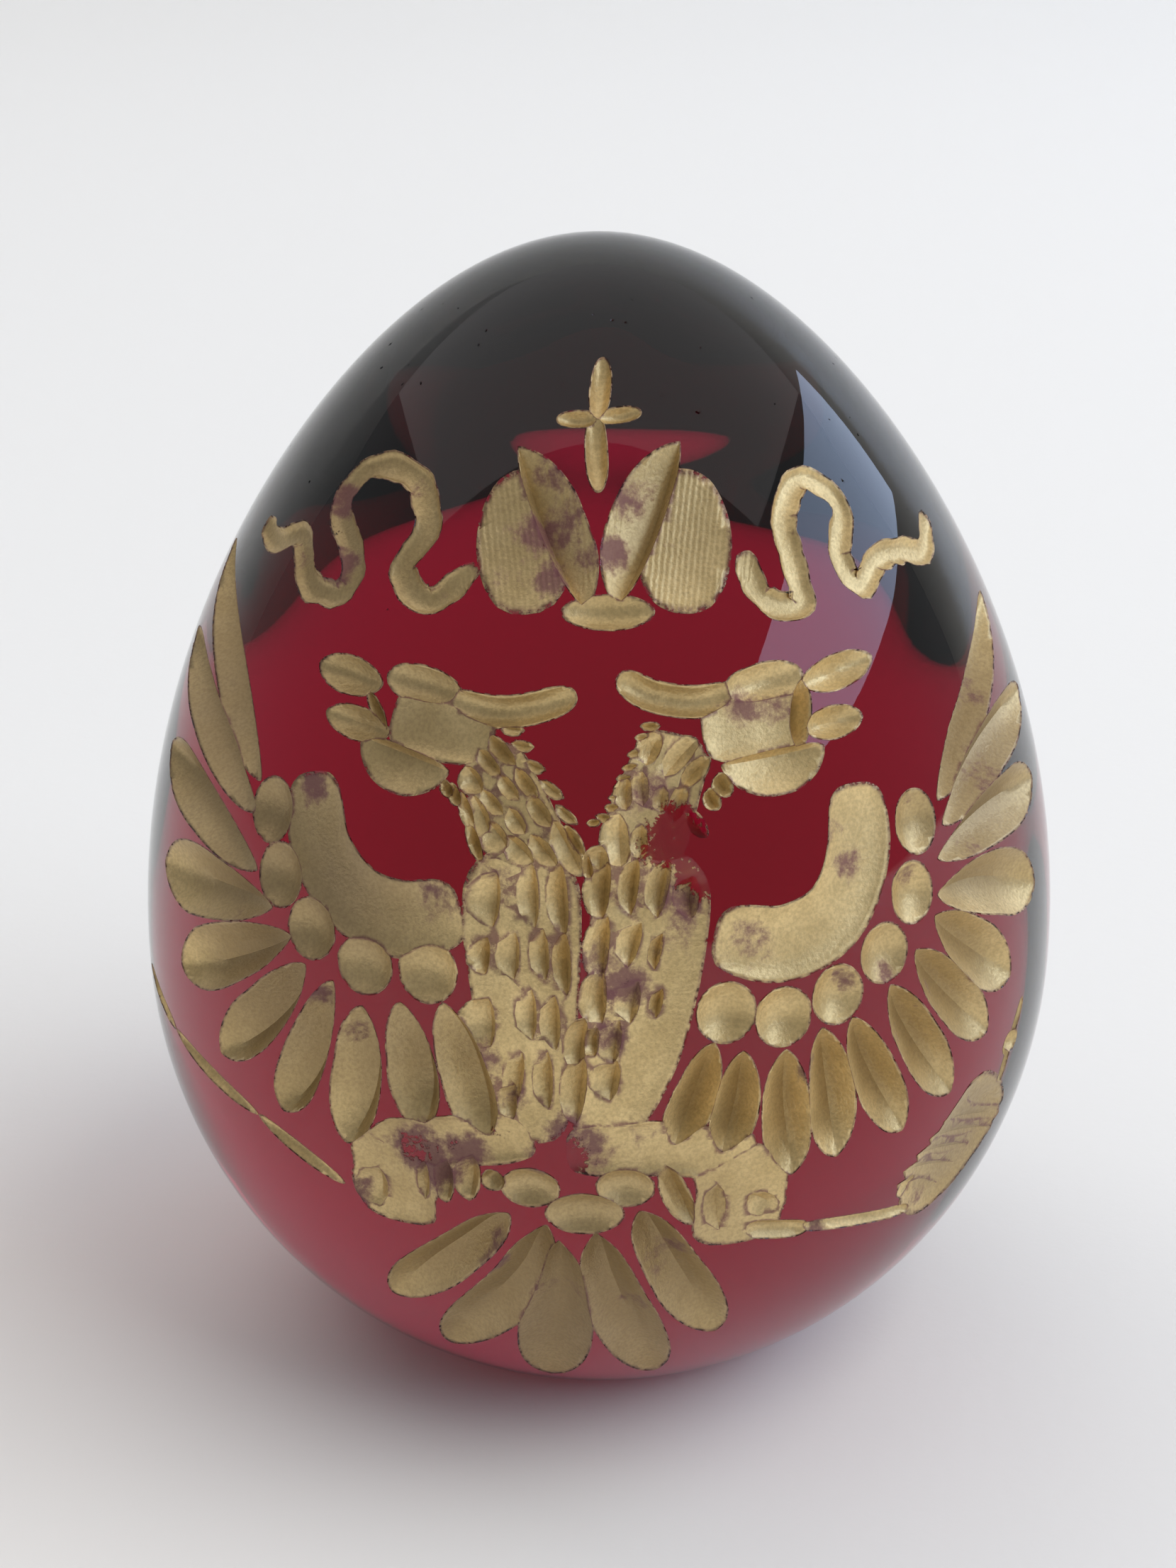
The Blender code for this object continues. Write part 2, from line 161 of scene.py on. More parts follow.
def walk(start, heading, length):
    """From a place on a heading, in degrees clockwise from straight up."""
    steps = 10
    aim = math.radians(heading)

    def path(t):
        turn, height = start[0], height_of(start[1])
        stride = length * (t + 1) / 2 / steps
        for _ in range(steps):
            turn += math.degrees(stride * math.sin(aim) / egg_radius(height))
            height += stride * math.cos(aim) / math.hypot(1.0, egg_slope(height))
        return turn, height
    return path


def centred(centre, heading, length):
    """Short straight path with its middle at a place."""
    start = place_at(walk(centre, heading + 180, length / 2), 1.0)
    return walk(start, heading, length)


def through(*places):
    """Smooth curve through places chosen along it."""
    last = len(places) - 1

    def path(t):
        along = (t + 1) / 2 * last
        k = max(0, min(last - 1, math.floor(along)))
        u = along - k
        p1, p2 = places[k], places[k + 1]
        p0 = places[k - 1] if k > 0 else [2 * a - b for a, b in zip(p1, p2)]
        p3 = places[k + 2] if k + 2 <= last else [2 * b - a for a, b in zip(p1, p2)]
        if 0 <= u <= 1:
            turn, rise = (
                0.5 * (2 * b + (c - a) * u + (2 * a - 5 * b + 4 * c - d) * u * u
                       + (3 * b - a - 3 * c + d) * u ** 3)
                for a, b, c, d in zip(p0, p1, p2, p3))
        else:
            base, slope = (p1, [c - a for a, c in zip(p0, p2)]) if u < 0 else (
                p2, [d - b for b, d in zip(p1, p3)])
            past = u if u < 0 else u - 1
            turn, rise = (b + s * past / 2 for b, s in zip(base, slope))
        return turn, height_of(rise)
    return path


# Swept cutters for the long strokes

def wander(seed, t):
    """Slow change between about -1 and 1, the same on every run."""
    return noise.noise(Vector((t, seed * 7.31, seed * 1.7)))


def groove(sides, keel, spread, steps):
    """Sideways places and heights of a groove, at a depth share of 'spread'."""
    shares = [math.sin(math.pi / 2 * k / steps) for k in range(1, steps + 1)]
    left = [(-sides[0] * s * spread, s ** keel) for s in reversed(shares)]
    right = [(sides[1] * s * spread, s ** keel) for s in shares]
    return left + [(0.0, 0.0)] + right


def closed_loft(name, loops, tips, material):
    """Closed mesh over rings of points, with a point at either end."""
    bm = bmesh.new()
    rings = [[bm.verts.new(co) for co in ring] for ring in loops]
    first, last = (bm.verts.new(co) for co in tips)
    count = len(rings[0])
    for a, b in zip(rings, rings[1:]):
        for j in range(count):
            bm.faces.new((a[j], a[(j + 1) % count], b[(j + 1) % count], b[j]))
    for j in range(count):
        bm.faces.new((first, rings[0][(j + 1) % count], rings[0][j]))
        bm.faces.new((last, rings[-1][j], rings[-1][(j + 1) % count]))
    bmesh.ops.recalc_face_normals(bm, faces=bm.faces)
    mesh = bpy.data.meshes.new(name)
    bm.to_mesh(mesh)
    bm.free()
    mesh.materials.append(material)
    return bpy.data.objects.new(name, mesh)


def stroke(name, path, sides, depth, keel=2.0, ends=2.0, taper=0.0, stations=20, steps=6,
           rough=0.05, pace=2.5, tilt=0.0):
    """One long cut of the wheel.

    sides: widths to the left and right of the path, as seen going along it.
    keel: 1 for a V, 2 for a round bottom, 4 for a flat one with steep walls.
    ends: 2 for a lens, more for a band that keeps its depth up to its ends.
    taper: share by which it widens from the middle to its end.
    rough: share by which its edges wander, and pace how quickly.
    tilt: share by which the keel lies off the middle, to the right of the upright egg.
    """
    if not isinstance(sides, tuple):
        sides = (sides, sides)
    seed = len(strokes.objects) + 1
    reach = (1 + CUTTER_CLEAR / depth) ** (1 / ends)
    rings = []
    for k in range(1, stations + 1):
        t = -reach * math.cos(math.pi * k / (stations + 1))
        point, normal = on_egg(*path(t))
        ahead = on_egg(*path(t + 0.02))[0] - on_egg(*path(t - 0.02))[0]
        across = ahead.cross(normal).normalized()
        floor = -depth * (1 - abs(t) ** ends)
        lift = CUTTER_CLEAR - floor
        spread = (lift / depth) ** (1 / keel) * max(0.1, 1 + taper * t)
        edges = [side * (1 + rough * wander(seed + 0.5 * j, t * pace))
                 for j, side in enumerate(sides)]
        moved = tilt * across.dot(Vector((-normal.y, normal.x, 0)).normalized())
        edges = [edges[0] * (1 + moved), edges[1] * (1 - moved)]
        centre = point + across * (moved * sides[0] * spread)
        rings.append([
            centre + across * y + normal * (floor + lift * share)
            for y, share in groove(edges, keel, spread, steps)])
    tips = []
    for t in (-reach, reach):
        point, normal = on_egg(*path(t))
        tips.append(point + normal * CUTTER_CLEAR)
    strokes.objects.link(closed_loft(name, rings, tips, gilded_cut))


def dish(name, centre, half_across, half_up, depth, lean=0.0, **shape):
    """Round or oval cut, upright unless it leans."""
    stroke(name, centred(centre, lean, 2 * half_up), half_across, depth, **shape)


# Short marks: copies of four unit cuts, 1 wide to either side, 1 long to either end, 1 deep

UNIT_CLEAR = 1.8                # how far a unit cut stands over the level it starts from
KINDS = ("a_oval", "b_scale", "c_rib", "d_pit")     # the unit cuts, in the order of their names
marks = []                      # place, turning, size and unit cut of each short mark


def unit_cut(name, sides, keel, ends, material, stations=9, steps=3):
    """Cutter of a unit cut, shaped as a stroke is."""
    reach = (1 + UNIT_CLEAR) ** (1 / ends)
    rings = []
    for k in range(1, stations + 1):
        t = -reach * math.cos(math.pi * k / (stations + 1))
        floor = -(1 - abs(t) ** ends)
        lift = UNIT_CLEAR - floor
        rings.append([Vector((y, t, floor + lift * share))
                      for y, share in groove(sides, keel, lift ** (1 / keel), steps)])
    tips = [Vector((0, t, UNIT_CLEAR)) for t in (-reach, reach)]
    unit_cuts.objects.link(closed_loft(name, rings, tips, material))


def mark(kind, start, end, half, depth, under=0.0):
    """A unit cut from one place to another, half a width wide to either side.

    under: how deep the field lies that it starts from.
    """
    path = between(start, end)
    point, normal = on_egg(*path(0.0))
    point -= normal * under
    ahead = on_egg(*path(1.0))[0] - on_egg(*path(-1.0))[0]
    length = ahead.length / 2
    ahead = (ahead - normal * ahead.dot(normal)).normalized()
    across = ahead.cross(normal)
    turned = Matrix((across, ahead, normal)).transposed().to_euler()
    marks.append((point, turned, Vector((half, length, depth)), KINDS.index(kind)))


def lay_marks():
    """Points that carry the turning, size and unit cut of each short mark."""
    places, turnings, sizes, kinds = zip(*marks)
    mesh = bpy.data.meshes.new("Marks")
    mesh.from_pydata(places, [], [])
    for name, kind, key, values in (
            ("turned", "FLOAT_VECTOR", "vector", turnings),
            ("size", "FLOAT_VECTOR", "vector", sizes), ("unit", "INT", "value", kinds)):
        for point, value in zip(mesh.attributes.new(name, kind, "POINT").data, values):
            setattr(point, key, value)
    return add_object("Marks", mesh)


# The eagle: long strokes

def cut_cross():
    for name, start, end, half in (
            ("top", (1.2, 93.4), (-0.5, 89.4), 0.57), ("left", (-9.2, 89.5), (0.2, 89.6), 0.52),
            ("right", (-0.4, 89.6), (9.4, 90), 0.5), ("stem", (-0.9, 90), (-0.1, 84.9), 0.6)):
        stroke("cross_" + name, between(start, end), half * MM, LINE_DEPTH, keel=2.2, ends=2.3)


def cut_crown():
    for name, turn, lean in (("left", -11.9, -7), ("right", 13.7, 8)):
        dish("crown_disc_" + name, (turn, 81.7), 2.85 * MM, 3.80 * MM, FIELD_DEPTH,
             lean=lean, keel=3, stations=32, rough=0.03)
    facet = {"keel": 1.3, "ends": 2.6, "stations": 28, "rough": 0.04}
    stroke("crown_facet_left", between((-1.9, 77.3), (-16.2, 87.7)),
           (0.36 * MM, 2.35 * MM), FACET_DEPTH, **facet)
    stroke("crown_facet_right", between((2.6, 77.5), (16.4, 88)),
           (2.55 * MM, 0.36 * MM), FACET_DEPTH, **facet)
    dish("crown_base", (1.3, 77.2), 0.95 * MM, 2.35 * MM, LINE_DEPTH, lean=90)


def cut_ribbons():
    left = through((-19, 79.8), (-26, 77.2), (-31.5, 79), (-29.5, 82.2), (-36, 85),
                   (-47, 84.9), (-49.5, 82), (-41.5, 79), (-41.5, 76.6), (-49, 76.4),
                   (-56, 79.2), (-63, 78), (-70, 78.6))
    right = through((23, 80.6), (25, 77.4), (31, 76.6), (31.5, 79.4), (33, 82.8),
                    (40, 84.6), (45.5, 82.4), (41, 79.4), (43, 77), (49, 78.2),
                    (55, 78.2), (62, 77.4), (69, 79.4))
    for name, path in (("left", left), ("right", right)):
        stroke("ribbon_" + name, path, 0.78 * MM, RIBBON_DEPTH, keel=4, ends=16,
               stations=130, rough=0.26, pace=20)


def cut_head(name, horn, parts):
    """Head in profile: its horn, and its lens cuts from the face outwards."""
    for part, start, end, sides, depth, keel, ends in parts:
        sides = tuple(side * MM for side in sides)
        stroke(f"{name}_{part}", between(start, end), sides, depth, keel=keel, ends=ends)
    stroke(name + "_horn", through(*horn), 0.85 * MM, BEAD_DEPTH, keel=2.4, ends=4)


def cut_heads():
    cut_head("head_left", ((-2.9, 71.8), (-8, 70.8), (-14, 70.3), (-21, 71)), (
        ("face", (-13, 68.6), (-27.5, 69.2), (1.75, 1.75), FIELD_DEPTH, 4, 4),
        ("crest", (-18, 71.1), (-29.5, 71.9), (1.05, 1.05), BEAD_DEPTH, 2, 2),
        ("upper_beak", (-29.7, 71.1), (-41.2, 71.5), (1.05, 1), BEAD_DEPTH, 1.7, 2),
        ("lower_beak", (-27.2, 67.9), (-37.8, 68.4), (0.92, 0.88), BEAD_DEPTH, 1.7, 2),
        ("mouth", (-32.2, 70.7), (-27.6, 67.9), (0.36, 0.36), LINE_DEPTH, 1.2, 2),
        ("throat", (-31.4, 67.3), (-18.4, 65.9), (0.45, 2.1), BEAD_DEPTH, 1.6, 2)))
    cut_head("head_right", ((2.4, 73), (7, 71.6), (13, 71), (18.5, 71.5)), (
        ("face", (13, 68.9), (26.8, 69.3), (1.75, 1.75), FIELD_DEPTH, 4, 4),
        ("crest", (16.2, 71.4), (28.4, 72.1), (1.12, 1.12), BEAD_DEPTH, 2, 2),
        ("upper_beak", (27.6, 71.3), (40.4, 72.1), (0.92, 0.95), BEAD_DEPTH, 1.7, 2),
        ("lower_beak", (26.8, 68.3), (36.2, 68.3), (0.88, 0.88), BEAD_DEPTH, 1.7, 2),
        ("mouth", (28.1, 71.7), (25.6, 66.9), (0.62, 0.62), FACET_DEPTH, 1.5, 2.4),
        ("throat", (29.4, 66.9), (15, 66.5), (2.1, 0.45), BEAD_DEPTH, 1.6, 2)))


def cut_trunk():
    """Necks and the two halves of the body: the flat fields under their feathers."""
    neck = {"keel": 4, "ends": 6, "taper": 0.15, "rough": 0.08}
    stroke("neck_left", between((-14.2, 67.8), (-7.6, 60.2)), (2.15 * MM, 1.95 * MM),
           FIELD_DEPTH * 0.7, **neck)
    stroke("neck_right", between((10.4, 68.9), (4.4, 60.2)), (2.05 * MM, 2.40 * MM),
           FIELD_DEPTH * 0.7, **neck)
    body = {"keel": 4, "ends": 5, "taper": -0.3, "stations": 30, "rough": 0.04}
    stroke("body_left", between((-9.2, 61), (-7, 37.6)), 3.05 * MM, FIELD_DEPTH, **body)
    stroke("body_right", through((6, 61), (5.4, 53.5), (3.6, 46), (-0.4, 37.6)),
           3.05 * MM, FIELD_DEPTH, **body)


def cut_wing(name, arm, beads, feathers):
    """Wing: a bent arm, beads round its outer edge and a fan of feathers."""
    stroke(name + "_arm", through(*arm), 2.10 * MM, FIELD_DEPTH, keel=4, ends=6,
           stations=40, rough=0.04)
    for k, (place, half_across, half_up) in enumerate(beads):
        dish(f"{name}_bead_{k + 1}", place, half_across * MM, half_up * MM, BEAD_DEPTH,
             stations=14)
    for k, (root, middle, tip, half, taper) in enumerate(feathers):
        stroke(f"{name}_feather_{k + 1}", through(root, middle, tip), half * MM,
               FEATHER_DEPTH, keel=1.45, ends=2.6, taper=taper + 0.1, steps=7, tilt=0.34)


def cut_wings():
    cut_wing(
        "wing_left",
        arm=((-37.6, 64), (-34.6, 58.6), (-28.5, 55.3), (-22, 54.7), (-15.6, 56.2)),
        beads=(
            ((-43.2, 60.2), 1.62, 1.78), ((-40.2, 55.6), 1.66, 1.78),
            ((-34.6, 52.3), 1.66, 1.7), ((-27, 50.6), 1.72, 1.64),
            ((-19.2, 51), 1.72, 1.72)),
        feathers=(
            ((-46.3, 61.8), (-61.8, 68.9), (-84.3, 75.1), 1.55, 0),
            ((-45.9, 59.4), (-62.8, 64.1), (-81.6, 67.9), 1.6, 0),
            ((-44, 55.2), (-59.8, 57.8), (-73.9, 59.3), 1.7, 0.1),
            ((-40.7, 52.9), (-52.9, 52), (-66.8, 50.7), 1.85, 0.35),
            ((-37.4, 51.3), (-47.9, 47.6), (-59.2, 43.6), 1.72, 0.3),
            ((-35.2, 49.4), (-41.6, 43.9), (-49.8, 38.2), 1.55, 0.15),
            ((-31.3, 48.8), (-35.1, 41.5), (-39.1, 35.7), 1.42, 0.15),
            ((-27.5, 47.3), (-28, 41.1), (-29.9, 34.7), 1.55, 0),
            ((-22.8, 48.2), (-21, 42.6), (-20.3, 37.5), 1.45, 0),
            ((-17.6, 48.7), (-14.8, 42.6), (-12.5, 36.7), 1.38, 0)))
    cut_wing(
        "wing_right",
        arm=((32.6, 63.8), (32, 59), (28, 54.6), (21, 53), (12.8, 54.4)),
        beads=(
            ((41.2, 59.6), 1.58, 1.76), ((39, 54.4), 1.58, 1.7),
            ((34, 50.4), 1.66, 1.66), ((27.4, 48.1), 1.62, 1.66),
            ((20.6, 47.2), 1.66, 1.66), ((14, 48.2), 1.68, 1.68)),
        feathers=(
            ((45.4, 60.6), (58.3, 65.7), (78, 71.8), 1.5, 0),
            ((45.5, 58.6), (60.4, 61.9), (79.5, 63.2), 1.6, 0.1),
            ((43.7, 56.2), (57.8, 57.1), (73, 56.7), 1.62, 0.25),
            ((42.9, 53.4), (54.6, 51.9), (66.9, 48.6), 1.82, 0.25),
            ((42, 51.8), (49.1, 47.6), (57.1, 42.8), 1.68, 0.2),
            ((38.4, 49.7), (44.3, 44.8), (51.4, 39.2), 1.52, 0.15),
            ((34.3, 47.6), (38.8, 41.9), (44.5, 35.5), 1.45, 0.1),
            ((28.9, 45.9), (32.3, 40.2), (36.7, 34), 1.4, 0.1),
            ((25, 45.7), (26.4, 40), (27.2, 33.7), 1.42, 0.1),
            ((20.5, 44.5), (20.8, 38.7), (21.7, 33), 1.45, 0),
            ((15.6, 45), (14.9, 39.9), (13, 35.6), 1.3, 0),
            ((12.3, 46), (10.1, 41.1), (7.5, 36.6), 1.22, 0)))


def cut_tail():
    """Three knobs and a fan of drop-shaped feathers below them."""
    dish("tail_knob_left", (-7.6, 33.4), 1.28 * MM, 1.58 * MM, BEAD_DEPTH, lean=90)
    dish("tail_knob_right", (2.9, 33.6), 1.28 * MM, 1.58 * MM, BEAD_DEPTH, lean=98)
    dish("tail_knob_middle", (-1.6, 31), 1.42 * MM, 2.10 * MM, BEAD_DEPTH, lean=90)
    feathers = (
        (((-10.1, 30.7), (-17, 25.4), (-28.5, 17.8)), 1.5, 0.25),
        (((-5.9, 29.8), (-7.5, 26.6), (-11.7, 20.7), (-23.7, 11)), 1.55, 0.6),
        (((-4.6, 28.2), (-4.7, 24.8), (-5.5, 17.9), (-8.4, 6.6)), 1.68, 0.75),
        (((-0.4, 29.1), (0.4, 25.8), (2.8, 19.2), (9, 7.6)), 1.6, 0.65),
        (((4.5, 31.3), (6.4, 28.3), (10.4, 22.4), (16.4, 15)), 1.5, 0.45))
    for k, (places, half, taper) in enumerate(feathers):
        stroke(f"tail_feather_{k + 1}", through(*places), half * MM, FEATHER_DEPTH,
               keel=1.5, ends=3.2, taper=taper, steps=7)


def cut_leg(name, thigh, claw):
    stroke(name + "_thigh", through(*thigh), 1.65 * MM, FIELD_DEPTH, keel=4, ends=6,
           rough=0.16)
    centre, half_across, half_up = claw
    dish(name + "_claw", centre, half_across * MM, half_up * MM, FIELD_DEPTH, keel=4, ends=4,
         rough=0.14)


def cut_legs():
    cut_leg("leg_left", ((-7, 38.2), (-13.5, 37.4), (-20, 36.4), (-26.5, 34.4)),
            ((-23.7, 32.2), 2.75, 2.9))
    cut_leg("leg_right", ((-3.6, 37), (3, 37.2), (10, 36.8), (17.5, 35.4)),
            ((16.1, 31.7), 2.85, 3.3))


def cut_rod():
    """Rod in the left claw: a chain of thin lens cuts."""
    joints = ((-30.5, 30.4), (-43.2, 34), (-62, 36.4), (-74.5, 38.6))
    for k, (start, end) in enumerate(zip(joints, joints[1:])):
        stroke(f"rod_{k + 1}", between(start, end), 0.55 * MM, LINE_DEPTH)


LEAF = ((41.6, 23.9), (45.2, 26.6), (49.2, 29), (52.8, 31.2), (56.2, 33.8))
LEAF_DEPTH = 0.55 * MM
LEAF_RIBS = 6
FIRST_RIB, RIB_STEP = -0.62, 0.25       # where they cross the leaf's path
RIB_TURN = 7.2                  # degrees from a rib's middle to either end
RIB_UP, RIB_DOWN = 1.9, 1.7     # rise of its left end, and drop of its right one


def cut_sceptre():
    """Sceptre in the right claw: shaft, leaf, stem and knob."""
    stroke("sceptre_grip", between((16.5, 28.2), (25.5, 26.8)), 0.70 * MM, LINE_DEPTH, ends=4)
    stroke("sceptre_shaft", through((24, 27.2), (34.2, 25.7), (42.5, 24.4)),
           0.48 * MM, LINE_DEPTH, ends=6)
    stroke("sceptre_leaf", through(*LEAF), 3.75 * MM, LEAF_DEPTH, keel=4, ends=2.6, taper=0.2,
           steps=8)
    dish("sceptre_collar", (40.6, 27.4), 0.75 * MM, 1.05 * MM, LINE_DEPTH, lean=80)
    stroke("sceptre_stem", through((56.4, 32.8), (58.3, 36.3), (61.4, 39.8)), 0.42 * MM,
           RIBBON_DEPTH, ends=6)
    dish("sceptre_knob", (58.3, 36.4), 1.05 * MM, 0.78 * MM, LINE_DEPTH)


# The eagle: short marks, each from one place to another with half a width in millimetres

NECK_SCALES = (
    # left neck
    ((-13.8, 68.6), (-10.3, 66.8), 0.36), ((-15.2, 67.7), (-12, 65.9), 0.38),
    ((-16.4, 66.3), (-14.3, 64.7), 0.46), ((-10.3, 66.6), (-7.4, 64.6), 0.38),
    ((-12.4, 66.1), (-9.6, 64.3), 0.42), ((-14.3, 64.9), (-11.4, 63.2), 0.4),
    ((-8.5, 64.8), (-5.7, 62.6), 0.45), ((-15.2, 64.3), (-12.9, 61.5), 0.48),
    ((-10.9, 63.8), (-8.7, 61.9), 0.48), ((-13.3, 62.7), (-10.7, 60.7), 0.56),
    ((-8.1, 62), (-5, 59.9), 0.46), ((-5.3, 62.9), (-2.2, 59.5), 0.47),
    ((-11, 61.8), (-7.7, 60), 0.53), ((-16.6, 64.4), (-14.9, 62.1), 0.24),
    ((-15.3, 62.3), (-13.7, 60), 0.24), ((-3.8, 62.6), (-1.9, 60.8), 0.3),
    ((-19, 65.2), (-18.1, 64.2), 0.22), ((-18, 65), (-16.9, 63.7), 0.24),
    # right neck
    ((12, 68.3), (7.9, 66), 0.56), ((13.4, 67), (10.1, 65.2), 0.42),
    ((5.3, 66.5), (5.3, 64), 0.46), ((10.6, 65.5), (8.8, 62.8), 0.43),
    ((8, 65.5), (7.3, 63.4), 0.44), ((10.9, 63.5), (12.5, 61.8), 0.3),
    ((13.4, 64.9), (14.2, 63.6), 0.32), ((14.8, 65.9), (15.8, 64.5), 0.38),
    ((5.1, 62.8), (4.9, 60.4), 0.44), ((2.4, 63.5), (2.5, 59.9), 0.58),
    ((0.3, 61.2), (0, 59.3), 0.48), ((-1.3, 60.6), (-0.9, 58.9), 0.24),
    ((7.6, 68.9), (5.8, 66.9), 0.5), ((3.4, 66), (3.2, 63.8), 0.4))
NECK_FRINGES = (
    ((-12.7, 69.3), (-9.3, 69.2), 0.32), ((-11.2, 68.3), (-8, 68.1), 0.33),
    ((-9.3, 67.1), (-6.4, 66.5), 0.34), ((-7.2, 65.9), (-4.1, 64.6), 0.36),
    ((-5.2, 64.2), (-2.4, 62.8), 0.33), ((5.1, 69.6), (7.9, 69.6), 0.26),
    ((4.4, 68.8), (6.9, 68.9), 0.26), ((3.4, 67.6), (5.8, 68), 0.28),
    ((2.7, 66.7), (5.1, 67), 0.27), ((2, 66), (4.3, 66.2), 0.26),
    ((1.6, 65.4), (3.9, 65.4), 0.26), ((1, 64.7), (3.6, 64.7), 0.27),
    ((0.5, 64), (2.7, 64.1), 0.26), ((-0.5, 63.4), (1.7, 63.3), 0.26),
    ((-1.5, 62.9), (0.3, 63.1), 0.22))
BODY_SCALES = (
    # left half, row by row
    ((-11.9, 58.9), (-12.1, 54.9), 0.57), ((-7.7, 59.6), (-7.2, 55), 0.51),
    ((-4.4, 59.6), (-3.8, 54.7), 0.46), ((-12.6, 54.1), (-12.7, 51.3), 0.36),
    ((-9.5, 54.7), (-9.5, 50.9), 0.57), ((-6.3, 55.1), (-5.9, 51), 0.49),
    ((-3.8, 54.8), (-3.5, 50.2), 0.42), ((-12.3, 49.3), (-12, 45.6), 0.6),
    ((-7.5, 50.4), (-7.3, 46.1), 0.54), ((-4.9, 49.9), (-4.7, 45.5), 0.51),
    ((-8.4, 45.2), (-9.1, 40.9), 0.47), ((-5.6, 45.4), (-5.5, 40.6), 0.49),
    ((-9.4, 42.7), (-9.4, 39.6), 0.39),
    # right half
    ((1, 59.9), (0.4, 56.1), 0.42), ((4.4, 60), (3.6, 56.1), 0.42),
    ((8, 59.8), (6.6, 55.8), 0.51), ((10.8, 58.6), (10.5, 55.8), 0.54),
    ((1, 56), (0.3, 51.4), 0.42), ((4.8, 55.6), (3.2, 52.1), 0.54),
    ((7.2, 54.7), (6.2, 51.8), 0.34), ((0.4, 51.9), (0.3, 47.8), 0.45),
    ((4.4, 51.1), (3.4, 47.6), 0.61), ((7.1, 50.4), (6.3, 48), 0.34),
    ((-1.6, 47.9), (-2.3, 44.2), 0.47), ((2.3, 48), (1.5, 44.2), 0.54),
    ((-1.7, 44.8), (-2.4, 40), 0.55), ((2, 44.7), (1.2, 41.3), 0.66),
    ((-0.2, 47.4), (-0.5, 45.1), 0.39))
TOES = (
    ((-26.2, 33), (-26.4, 28.8), 0.9), ((-20, 34.6), (-20.3, 30.4), 0.46),
    ((-17.2, 34.9), (-17.4, 31.3), 0.5), ((-14.2, 35.9), (-14.6, 31.9), 0.62),
    ((-12.4, 34.6), (-10.7, 33.3), 0.5),
    ((7.3, 35.5), (10.6, 29.8), 0.58), ((13.4, 33.4), (14.1, 28), 0.75),
    ((16.9, 31.3), (20.8, 29.7), 0.95))
PITS, PIT_SPREAD = 46, 270      # how many, and how far round they lie, in degrees
PIT_TOP, PIT_FALL = 97.5, 37    # rise of the highest, and how far down they go


def cut_marks():
    for places, kind, widen, depth, under in (
            (NECK_SCALES, "a_oval", 1.1, 0.42, 0.28), (NECK_FRINGES, "a_oval", 1, 0.32, 0),
            (BODY_SCALES, "b_scale", 1.15, 0.50, 0.43), (TOES, "a_oval", 1, 0.50, 0.30)):
        for start, end, half in places:
            mark(kind, start, end, widen * half * MM, depth * MM, under * MM)
    # Ribs of the sceptre's leaf, shorter and shallower towards its ends
    for k in range(LEAF_RIBS):
        t = FIRST_RIB + RIB_STEP * k
        turn, rise = place_at(through(*LEAF), t)
        full = 1 - abs(t) ** 3
        mark("c_rib", (turn - RIB_TURN * full, rise + RIB_UP),
             (turn + RIB_TURN * full, rise - RIB_DOWN), 0.80 * MM,
             (0.14 + 0.16 * full) * MM, under=0.39 * full * MM)
    # Small pits and knocks, most of them near the top
    for k in range(PITS):
        turn = PIT_SPREAD * noise.noise(Vector((k * 3.17, 0.4, 1.9)))
        rise = PIT_TOP - PIT_FALL * abs(noise.noise(Vector((k * 1.93, 5.2, 0.3))))
        size = (0.06 + 0.16 * abs(noise.noise(Vector((k * 2.31, 8.1, 4.2))))) * MM
        path = centred((turn, rise), 40.0 * k, 2.4 * size)
        mark("d_pit", place_at(path, -1.0), place_at(path, 1.0), size, 0.8 * size)


# Node trees

def math_node(operation):
    """Method of a wire that puts it and another value through a Math node."""
    return lambda wire, other: wire.graph.math(operation, wire, other)


class Wire:
    """An output of a node. Arithmetic on it adds Math nodes to its tree."""

    def __init__(self, graph, socket):
        self.graph, self.socket = graph, socket

    def out(self, name):
        """Another output of the same node."""
        return Wire(self.graph, self.socket.node.outputs[name])

    def __rsub__(self, other):
        return self.graph.math("SUBTRACT", other, self)

    __add__ = __radd__ = math_node("ADD")
    __sub__ = math_node("SUBTRACT")
    __mul__ = __rmul__ = math_node("MULTIPLY")
    __truediv__ = math_node("DIVIDE")
    __pow__ = math_node("POWER")
    __gt__ = math_node("GREATER_THAN")


class Graph:
    """A node tree, with one call for each node."""

    def __init__(self, tree):
        self.tree = tree

    def node(self, kind, sockets=None, **settings):
        """Adds a node, given the values or wires of its sockets."""
        made = self.tree.nodes.new(kind)
        for name, value in settings.items():
            setattr(made, name, value)
        for key, value in (sockets or {}).items():
            into = made.inputs[key] if isinstance(key, int) else next(
                s for s in made.inputs if s.enabled and s.name == key)
            for one in value if isinstance(value, list) else [value]:
                if isinstance(one, Wire):
                    self.tree.links.new(one.socket, into)
                else:
                    into.default_value = one
        return Wire(self, next((s for s in made.outputs if s.enabled), None))

    def math(self, operation, *values):
        return self.node("ShaderNodeMath", dict(enumerate(values)), operation=operation)

    def step(self, low, high, value):
        """0 below low, 1 above high, and a soft step between."""
        return self.node("ShaderNodeMapRange", {"Value": value, "From Min": low, "From Max": high},
                         interpolation_type="SMOOTHSTEP")

    def blend(self, share, first, second):
        """Mixes two colours, each a wire or three numbers."""
        first, second = (colour if isinstance(colour, Wire) else (*colour, 1.0)
                         for colour in (first, second))
        return self.node("ShaderNodeMix", {"Factor": share, "A": first, "B": second},
                         data_type="RGBA")

    def noise(self, place, scale, detail=3.0, rough=0.6, distortion=0.0):
        return self.node("ShaderNodeTexNoise", {
            "Vector": place, "Scale": scale, "Detail": detail, "Roughness": rough,
            "Distortion": distortion})

    def bump(self, height, strength, distance):
        return self.node("ShaderNodeBump", {
            "Strength": strength, "Distance": distance, "Height": height})


